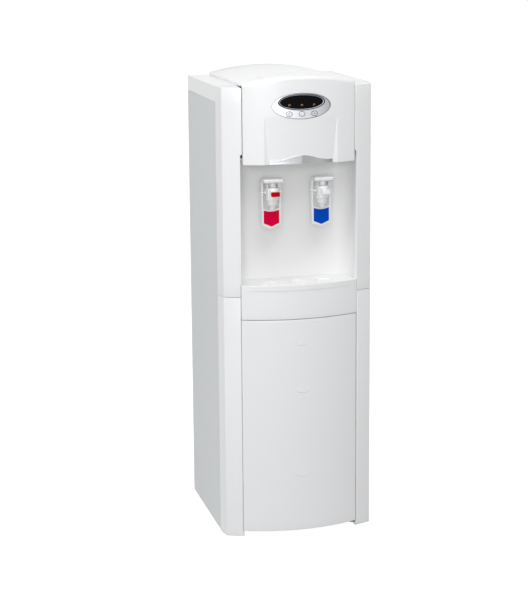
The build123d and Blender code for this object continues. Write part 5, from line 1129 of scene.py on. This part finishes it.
def build_paddles():
    """The two levers: a window-shaped frame over a pointed plate, each with a coloured insert."""
    edge = bpy.context.scene.cooler_sizes.paddle_edge
    front = pivot_y - 0.0025
    top, plate_top = pivot_z + 0.0247, pivot_z - 0.0377
    corner_z = plate_top - 0.041
    tip_z = corner_z - 0.0094
    face_top, face_low = plate_top - 0.004, plate_top - 0.0355
    dip = np.linspace(1, -1, 11)

    def dipped(half, height):
        """An edge that sags by a parabola, from right to left."""
        return np.stack((half * dip, height - plate_dip * (1 - dip**2)), axis=1)

    for side, x0 in taps:
        outline = np.concatenate((
            [(-foot_half, corner_z), (0.0, tip_z), (foot_half, corner_z)],
            [(frame_half, plate_top), (frame_half, top), (opening_half, top)],
            dipped(opening_half, plate_top),
            [(-opening_half, top), (-frame_half, top), (-frame_half, plate_top)],
        ))
        outline[:, 0] += x0
        radii = np.full(len(outline), plate_corner)
        radii[[0, 2]] = 0.0022
        radii[1] = 0.004
        radii[[4, 5, -3, -2]] = 0.0012
        radii[[6, 16]] = 0.0022
        grid, loops = prism(outline, radii, front, front + 0.005, edge, "XZ", 6)
        grids = [grid]
        for s in (-1, 1):
            start, end = x0 + s * peg_start, x0 + s * peg_end
            peg = [(0.0, start), (peg_radius, start), (peg_radius, end)]
            grids.append(lathe(peg, (0, pivot_y, pivot_z), "X", 24))
        for s in (-1, 1):
            cheek = rectangle(opening_half, cheek_outer, plate_top + 0.004, top - 0.003)
            cheek = np.roll(cheek, 1, axis=0) * (s, 1) + (x0, 0)  # the first corner sets how near points weld
            flange, caps = prism(  # this outline runs clockwise, so its ends widen by their edge's radius
                cheek[::-1] if s > 0 else cheek,
                np.full(4, 0.0004), front + 0.003, front + 0.0155, 0.0004, "XZ", 4,
            )
            start, end = x0 + s * peg_end, x0 + s * lug_end
            lug = rounded_profile([(0.0, start), (lug_radius, start), (lug_radius, end), (0.0, end)],
                                  [0, 0.0002, 0.0009, 0], 5)
            grids += [flange, lathe(lug, (0, pivot_y, pivot_z), "X", 24)]
            loops = [*loops, *caps]
        place_mesh(f"{side}_paddle_frame", grids, "gloss_white", f"{side}_lever", [f"{side}_paddle"],
                   polygons=loops)
        face = np.concatenate((
            [(-insert_half, face_low), (0.0, face_low - 0.008), (insert_half, face_low)],
            dipped(insert_half, face_top),
        ))
        face[:, 0] += x0
        radii = np.full(len(face), plate_corner)
        radii[[0, 2, 3, -1]] = 0.0009
        radii[1] = 0.002
        grid, loops = prism(face, radii, front - 0.0013, front + 0.0004, 0.0005, "XZ", 5)
        place_mesh(f"{side}_insert_face", [grid], "red_plastic" if side == "hot" else "blue_plastic",
                   f"{side}_lever", [f"{side}_paddle_insert"], polygons=loops)


hood_half = 0.0242
neck_gap = 0.0007  # between a tap's collar and the hood's neck
rib_gap = 0.0009
rib_x, rib_half = 0.0135, 0.001


def build_caps():
    """The hoods over the taps: a rounded rectangle that widens from its foot and rounds over into a crowned
    top, on a neck between two ribs."""
    low = pivot_z + 0.0253
    collar_top = tap_tail_z + collar_rise
    front, back = tap_y - 0.0205, tap_y + 0.0155
    profile = rounded_profile(
        [(0.0030, 0.0), (0.0004, 0.0022), (0.0, 0.0070), (0.0012, 0.0091), (0.0060, 0.0096)],
        [0, 0.0009, 0.0014, 0.0012, 0], 5,
    )
    for side, x0 in taps:
        outline = rectangle(x0 - hood_half, x0 + hood_half, front, back)
        rings = []
        for inset, up in profile:
            flat = rounded(offset(outline, inset), np.full(4, max(0.0045 - 0.5 * inset, 0.0015)), 8)
            rings.append(level_ring(flat, low + up))
        rings = np.array(rings)
        neck = rounded_profile(
            [(0.0, collar_top + neck_gap), (0.0085, collar_top + neck_gap), (0.0085, low), (0.0, low)],
            [0, 0.0005, 0, 0], 4,
        )
        ribs, loops = [], [rings[0], rings[-1]]
        for way in (-1, 1):
            middle = x0 + way * rib_x
            rib, caps = prism(
                rectangle(middle - rib_half, middle + rib_half, tap_y - 0.012, tap_y + 0.008),
                np.full(4, 0.0006), collar_top + rib_gap, low + 0.001, 0.0003, "XY", 4,
            )
            ribs.append(rib)
            loops += caps
        place_mesh(f"{side}_hood", [ring_grid(rings), lathe(neck, (x0, tap_y, 0)), *ribs], "gloss_white",
                   f"{side}_plunger", [f"{side}_tap_cap"], polygons=loops)


def build_safety_tab():
    """The red tab on the hot tap, with its stem."""
    grids, loops = tab_mesh(-tap_x, tap_y - 0.0265)
    start, end = tap_y - 0.0275, tap_y - 0.016
    grids.append(lathe([(0.0, start), (0.003, start), (0.003, end), (0.0, end)], (-tap_x, 0, tab_z), "Y", 24))
    place_mesh("safety_tab_face", grids, "tab_red", "hot_tab", ["hot_safety_tab"], polygons=loops)


# ------------------------------------------------------------------ buttons and lamps
sign_half = 0.0023
sign_line = 0.00022  # half the width of a line of the right sign
sign_proud, sign_wall = 0.0001, 0.0007


def build_buttons():
    """Three push buttons with rounded rims and a shallow dish, each in a thin oval line, the outer two with
    a small raised sign."""
    colours = bpy.context.scene.cooler_colours
    for side, x0 in zip(("left", "centre", "right"), button_x):
        low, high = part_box(f"button_{side}")
        profile = rounded_profile(
            [(0.0, high[1]), (button_radius, high[1]), (button_radius, low[1]), (0.0044, low[1]),
             (0.0, low[1] + 0.0005)],
            [0, 0.0002, 0.0007, 0.0005, 0], 6,
        )
        piece = place_mesh(f"button_{side}_cap", [lathe(profile, (x0, 0, button_z), "Y", 48)], "gloss_white",
                           f"{side}_button", [f"button_{side}"])
        # the buttons take the bezel's painted reflection and shade into their colour
        piece.data.materials[0] = silver_finish("button", colours.silver, bezel_painted_reflection)
        turn = np.linspace(0, 2 * np.pi, 65)
        line = np.array(((0.0069, 0.0054), (0.0069, 0.0054), (0.0077, 0.0062), (0.0077, 0.0062)))
        x, z = x0 + line[:, :1] * np.cos(turn), button_z + line[:, 1:] * np.sin(turn)
        deep = np.array((0.0024, 0.0001, 0.0001, 0.0024))[:, None]
        outline = on_front(x, z, deep)
        place_mesh(f"button_{side}_outline", [np.concatenate((outline, outline[:1]))], "blue_grey_plastic",
                   "cabinet")
        if side == "centre":
            continue
        grids = []
        if side == "left":
            angle = np.linspace(0, 2 * np.pi, 33)
            lean = 1 - 0.55 * np.clip(np.sin(angle), 0, 1) ** 1.5
            outer = np.stack((0.0019 * np.cos(angle) * lean, sign_half * np.sin(angle)), axis=1)
            grids.append(sign_band(outer * 0.72, outer, x0, low[1]))
        else:
            for tilt in np.arange(3) * np.pi / 3 + np.pi / 2:
                way = np.array((np.cos(tilt), np.sin(tilt)))
                beside = sign_line * np.array((-way[1], way[0]))
                ends = np.array((-sign_half, sign_half))[:, None] * way
                grids.append(sign_band(ends - beside, ends + beside, x0, low[1]))
        place_mesh(f"button_{side}_sign", grids, "blue_grey_plastic", f"{side}_button")


def sign_band(inner, outer, x0, face_y):
    """A thin raised band between two lines in X and Z, just proud of a button's face."""
    lines = np.stack((inner, outer))
    front = grid_of(x0 + lines[..., 0], face_y + sign_proud, button_z + lines[..., 1])
    back = front + (0, sign_wall, 0)
    return np.stack((front[0], front[1], back[1], back[0], front[0]))


lamp_x = (-0.0293, 0.0, 0.0293)
lamp_radius, lamp_wide, lamp_deep = 0.0020, 0.0006, 0.0004  # of a ring, and of its tube


def build_lamps():
    """Three indicator lamps in the window: each an open ring, a round tube carried along most of a
    circle."""
    low, high = corners("indicator_lamps")
    lamp_z = (low[2] + high[2]) / 2
    around = np.linspace(0, 2 * np.pi, 12, endpoint=False)
    along = np.radians(np.linspace(-30, 240, 41))[:, None]
    grids, loops = [], []
    for x0 in lamp_x:
        face = float(front_y(x0, glass_depth))
        reach = lamp_radius + lamp_wide * np.cos(around)
        rings = grid_of(
            x0 + reach * np.cos(along), face - lamp_deep * np.sin(around), lamp_z + reach * np.sin(along)
        )
        grids.append(ring_grid(rings))
        loops += [rings[0], rings[-1]]
    place_mesh("lamp_rings", grids, "lamp_orange", "cabinet", ["indicator_lamps"], polygons=loops)


# ------------------------------------------------------------------ feet and screws
foot_radius = 0.017
stem_radius = 0.004
stem_start = 0.0085  # height where the thread begins
thread_pitch, thread_depth = 0.0006, 0.0003
screw_inset = 0.009
screw_heights = (0.06, 0.30, 0.54, 0.80, 1.02)


def build_feet():
    """Levelling feet: a pad with a grooved rim and a threaded stem, turned about the foot's axis."""
    low, high = corners("rear_feet")
    x_out = high[0] - foot_radius
    y_mid = (low[1] + high[1]) / 2
    pad = rounded_profile(
        [(0.0, 0.0), (0.0155, 0.0), (foot_radius, 0.0018), (foot_radius, 0.0028), (0.0162, 0.0032),
         (foot_radius, 0.0036), (foot_radius, 0.005), (0.0155, 0.006), (0.006, 0.006), (0.006, stem_start),
         (stem_radius, stem_start)],
        [0, 0.0008, 0.0006, 0.0002, 0.0002, 0.0002, 0.0006, 0.0006, 0.0004, 0.0005, 0], 4,
    )
    turns = np.arange(stem_start, high[2] - 0.0004, thread_pitch)
    thread = np.stack((stem_radius - thread_depth * (np.arange(len(turns)) % 2), turns), axis=1)
    end = np.array([(0.0036, high[2]), (0.0, high[2])])
    profile = np.concatenate((pad, thread, end))
    grids = [lathe(profile, (way * x_out, y_mid, 0), turns=48) for way in (-1, 1)]
    place_mesh("levelling_feet", grids, "rubber", "cabinet", ["rear_feet"])


def build_screws():
    """Pan-head screws along the back panel's edges, each a lathed dome."""
    low, high = corners("back_panel")
    face = low[1] + 0.001
    dome = rounded_profile(
        [(0.0036, face + 0.0001), (0.0036, face + 0.0010), (0.0022, face + 0.0021), (0.0, face + 0.0023)],
        [0, 0.0004, 0.0012, 0], 4,
    )
    grids = []
    for x0 in (high[0] - screw_inset, low[0] + screw_inset):
        for z0 in screw_heights:
            grids.append(lathe(dome, (x0, 0, z0), "Y", 24))
    place_mesh("back_screws", grids, "zinc_sheet", "cabinet")


# ------------------------------------------------------------------ stage and camera
camera_place = (-1.0196, -3.8071, 1.4362)
camera_yaw = 14.381
camera_pitch = -10.923
camera_roll = -0.449
camera_lens = 98.23
camera_shift_y = -0.09
sensor_width = 36


def make_camera():
    """The camera at the photograph's viewing angle."""
    yaw, pitch, roll = (math.radians(a) for a in (camera_yaw, camera_pitch, camera_roll))
    ahead = Vector((math.sin(yaw) * math.cos(pitch), math.cos(yaw) * math.cos(pitch), math.sin(pitch)))
    level = Vector((math.cos(yaw), -math.sin(yaw), 0))
    lifted = level.cross(ahead)
    right = math.cos(roll) * level + math.sin(roll) * lifted
    up = right.cross(ahead)
    data = bpy.data.cameras.new("camera")
    data.lens = camera_lens
    data.sensor_width = sensor_width
    data.shift_y = camera_shift_y
    camera = bpy.data.objects.new("camera", data)
    turn = Matrix((right, up, -ahead)).transposed().to_4x4()
    camera.matrix_world = Matrix.Translation(camera_place) @ turn
    bpy.context.scene.collection.objects.link(camera)
    bpy.context.scene.camera = camera


def seen_plainly(tree):
    """A factor of 1 for rays from the camera, a mirror or glass, which see the surround itself."""
    path = tree.nodes.new("ShaderNodeLightPath")
    total = path.outputs["Is Camera Ray"]
    for other in ("Is Glossy Ray", "Is Transmission Ray"):
        both = tree.nodes.new("ShaderNodeMath")
        both.operation = "MAXIMUM"
        tree.links.new(total, both.inputs[0])
        tree.links.new(path.outputs[other], both.inputs[1])
        total = both.outputs[0]
    return total


def pale_ground(name, lift):
    """A pale matte floor, lifted to plain white where it is seen, while its shadow stays darker."""
    made = bpy.data.materials.new(name)
    made.use_nodes = True
    tree = made.node_tree
    tree.nodes.remove(tree.nodes["Principled BSDF"])
    matte = tree.nodes.new("ShaderNodeBsdfDiffuse")
    matte.inputs["Color"].default_value = (floor_colour, floor_colour, floor_colour, 1)
    glow = tree.nodes.new("ShaderNodeEmission")
    strength = tree.nodes.new("ShaderNodeMath")
    strength.operation = "MULTIPLY"
    strength.inputs[1].default_value = lift
    both = tree.nodes.new("ShaderNodeAddShader")
    tree.links.new(seen_plainly(tree), strength.inputs[0])
    tree.links.new(strength.outputs[0], glow.inputs["Strength"])
    tree.links.new(matte.outputs[0], both.inputs[0])
    tree.links.new(glow.outputs[0], both.inputs[1])
    tree.links.new(both.outputs[0], tree.nodes["Material Output"].inputs["Surface"])
    return made


room_light = 0.33
floor_colour = 0.45
floor_lift = 0.95  # strength that lifts the floor to white where it is seen
floor_half = 30.0
lamp_aim = (0, 0, 0.6)
lamps = (  # name, place, size, power
    ("key", (-0.9, -3.6, 1.5), 1.4, 39),
    ("high", (-1.5, -2.7, 2.6), 1.5, 7),
    ("top", (0.1, -1.3, 3.1), 1.7, 29),
    ("side", (-2.5, -0.6, 2.5), 1.6, 24),
)


def make_stage():
    """A pale floor, a plain white surround and soft lamps."""
    mesh = bpy.data.meshes.new("floor")
    square = rectangle(-floor_half, floor_half, -floor_half, floor_half)
    mesh.from_pydata(level_ring(square, 0), [], [(0, 1, 2, 3)])
    floor = bpy.data.objects.new("floor", mesh)
    mesh.materials.append(pale_ground("floor", floor_lift))
    bpy.context.scene.collection.objects.link(floor)
    world = bpy.data.worlds.new("studio")
    bpy.context.scene.world = world
    world.use_nodes = True
    tree = world.node_tree
    room = tree.nodes["Background"]
    room.inputs["Color"].default_value = (1, 1, 1, 1)
    room.inputs["Strength"].default_value = room_light
    white = tree.nodes.new("ShaderNodeBackground")
    white.inputs["Color"].default_value = (1, 1, 1, 1)
    white.inputs["Strength"].default_value = 1.0
    mix = tree.nodes.new("ShaderNodeMixShader")
    tree.links.new(seen_plainly(tree), mix.inputs["Fac"])
    tree.links.new(room.outputs[0], mix.inputs[1])
    tree.links.new(white.outputs[0], mix.inputs[2])
    tree.links.new(mix.outputs[0], tree.nodes["World Output"].inputs["Surface"])
    for name, place, size, power in lamps:
        lamp = bpy.data.lights.new(name, "AREA")
        lamp.size = size
        lamp.energy = power
        made = bpy.data.objects.new(name, lamp)
        made.location = place
        made.rotation_euler = (Vector(lamp_aim) - Vector(place)).to_track_quat("-Z", "Y").to_euler()
        bpy.context.scene.collection.objects.link(made)


def paint_nodes():
    """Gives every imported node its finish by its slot."""
    slot_of = {part["node"]: part["material_slot"] for part in frame["record"]["subparts"]}
    for name, node in nodes.items():
        node.data.materials.clear()
        node.data.materials.append(slot_finish(slot_of[name]))


# ------------------------------------------------------------------ operators and panel
class COOLER_OT_finishes(bpy.types.Operator):
    """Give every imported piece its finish"""

    bl_idname = "cooler.finishes"
    bl_label = "Finishes"

    def execute(self, context):
        paint_nodes()
        return {"FINISHED"}


class COOLER_OT_door(bpy.types.Operator):
    """Build the bowed door with its reliefs, the apron above it and the rims of the deck's dishes"""

    bl_idname = "cooler.door"
    bl_label = "Door and apron"

    def execute(self, context):
        build_door(context.scene.cooler_sizes)
        build_apron(context.scene.cooler_sizes)
        build_dish_rims()
        return {"FINISHED"}


class COOLER_OT_pillars(bpy.types.Operator):
    """Build the four pillar shells"""

    bl_idname = "cooler.pillars"
    bl_label = "Pillars"

    def execute(self, context):
        build_pillars()
        return {"FINISHED"}


class COOLER_OT_lid(bpy.types.Operator):
    """Build the domed lid, the head cover and the silver trim"""

    bl_idname = "cooler.lid"
    bl_label = "Lid, head cover and trim"

    def execute(self, context):
        build_lid()
        build_head_cover()
        build_trim()
        return {"FINISHED"}


class COOLER_OT_taps(bpy.types.Operator):
    """Build the two taps with their levers, hoods and the safety tab"""

    bl_idname = "cooler.taps"
    bl_label = "Taps"

    def execute(self, context):
        for side, x0 in taps:
            build_tap_body(side, x0)
        build_paddles()
        build_caps()
        build_safety_tab()
        return {"FINISHED"}


class COOLER_OT_display(bpy.types.Operator):
    """Build the oval display with its buttons and lamps"""

    bl_idname = "cooler.display"
    bl_label = "Display"

    def execute(self, context):
        build_display()
        build_buttons()
        build_lamps()
        return {"FINISHED"}


class COOLER_OT_feet(bpy.types.Operator):
    """Build the levelling feet and the screws at the back"""

    bl_idname = "cooler.feet"
    bl_label = "Feet and screws"

    def execute(self, context):
        build_feet()
        build_screws()
        return {"FINISHED"}


class COOLER_OT_stage(bpy.types.Operator):
    """Set up the camera, the floor and the lamps"""

    bl_idname = "cooler.stage"
    bl_label = "Stage"

    def execute(self, context):
        make_camera()
        make_stage()
        return {"FINISHED"}


steps = (
    COOLER_OT_finishes,
    COOLER_OT_door,
    COOLER_OT_pillars,
    COOLER_OT_lid,
    COOLER_OT_taps,
    COOLER_OT_display,
    COOLER_OT_feet,
    COOLER_OT_stage,
)


class COOLER_PT_panel(bpy.types.Panel):
    """Lists the steps that build the cooler, with its colours and sizes"""

    bl_idname = "COOLER_PT_panel"
    bl_label = "Water cooler"
    bl_space_type = "VIEW_3D"
    bl_region_type = "UI"
    bl_category = "Cooler"

    def draw(self, context):
        for group in (context.scene.cooler_colours, context.scene.cooler_sizes):
            for name in group.bl_rna.properties.keys():
                if name not in ("rna_type", "name"):
                    self.layout.prop(group, name)
        for step in steps:
            self.layout.operator(step.bl_idname)


classes = (CoolerColours, CoolerSizes, *steps, COOLER_PT_panel)


def register():
    for each in classes:
        bpy.utils.register_class(each)
    bpy.types.Scene.cooler_colours = bpy.props.PointerProperty(type=CoolerColours)
    bpy.types.Scene.cooler_sizes = bpy.props.PointerProperty(type=CoolerSizes)


def unregister():
    del bpy.types.Scene.cooler_sizes
    del bpy.types.Scene.cooler_colours
    for each in reversed(classes):
        bpy.utils.unregister_class(each)


def main():
    register()
    bpy.context.scene.view_settings.view_transform = "Standard"
    for step in steps:
        space, name = step.bl_idname.split(".")
        getattr(getattr(bpy.ops, space), name)()


if __name__ == "__main__":
    main()
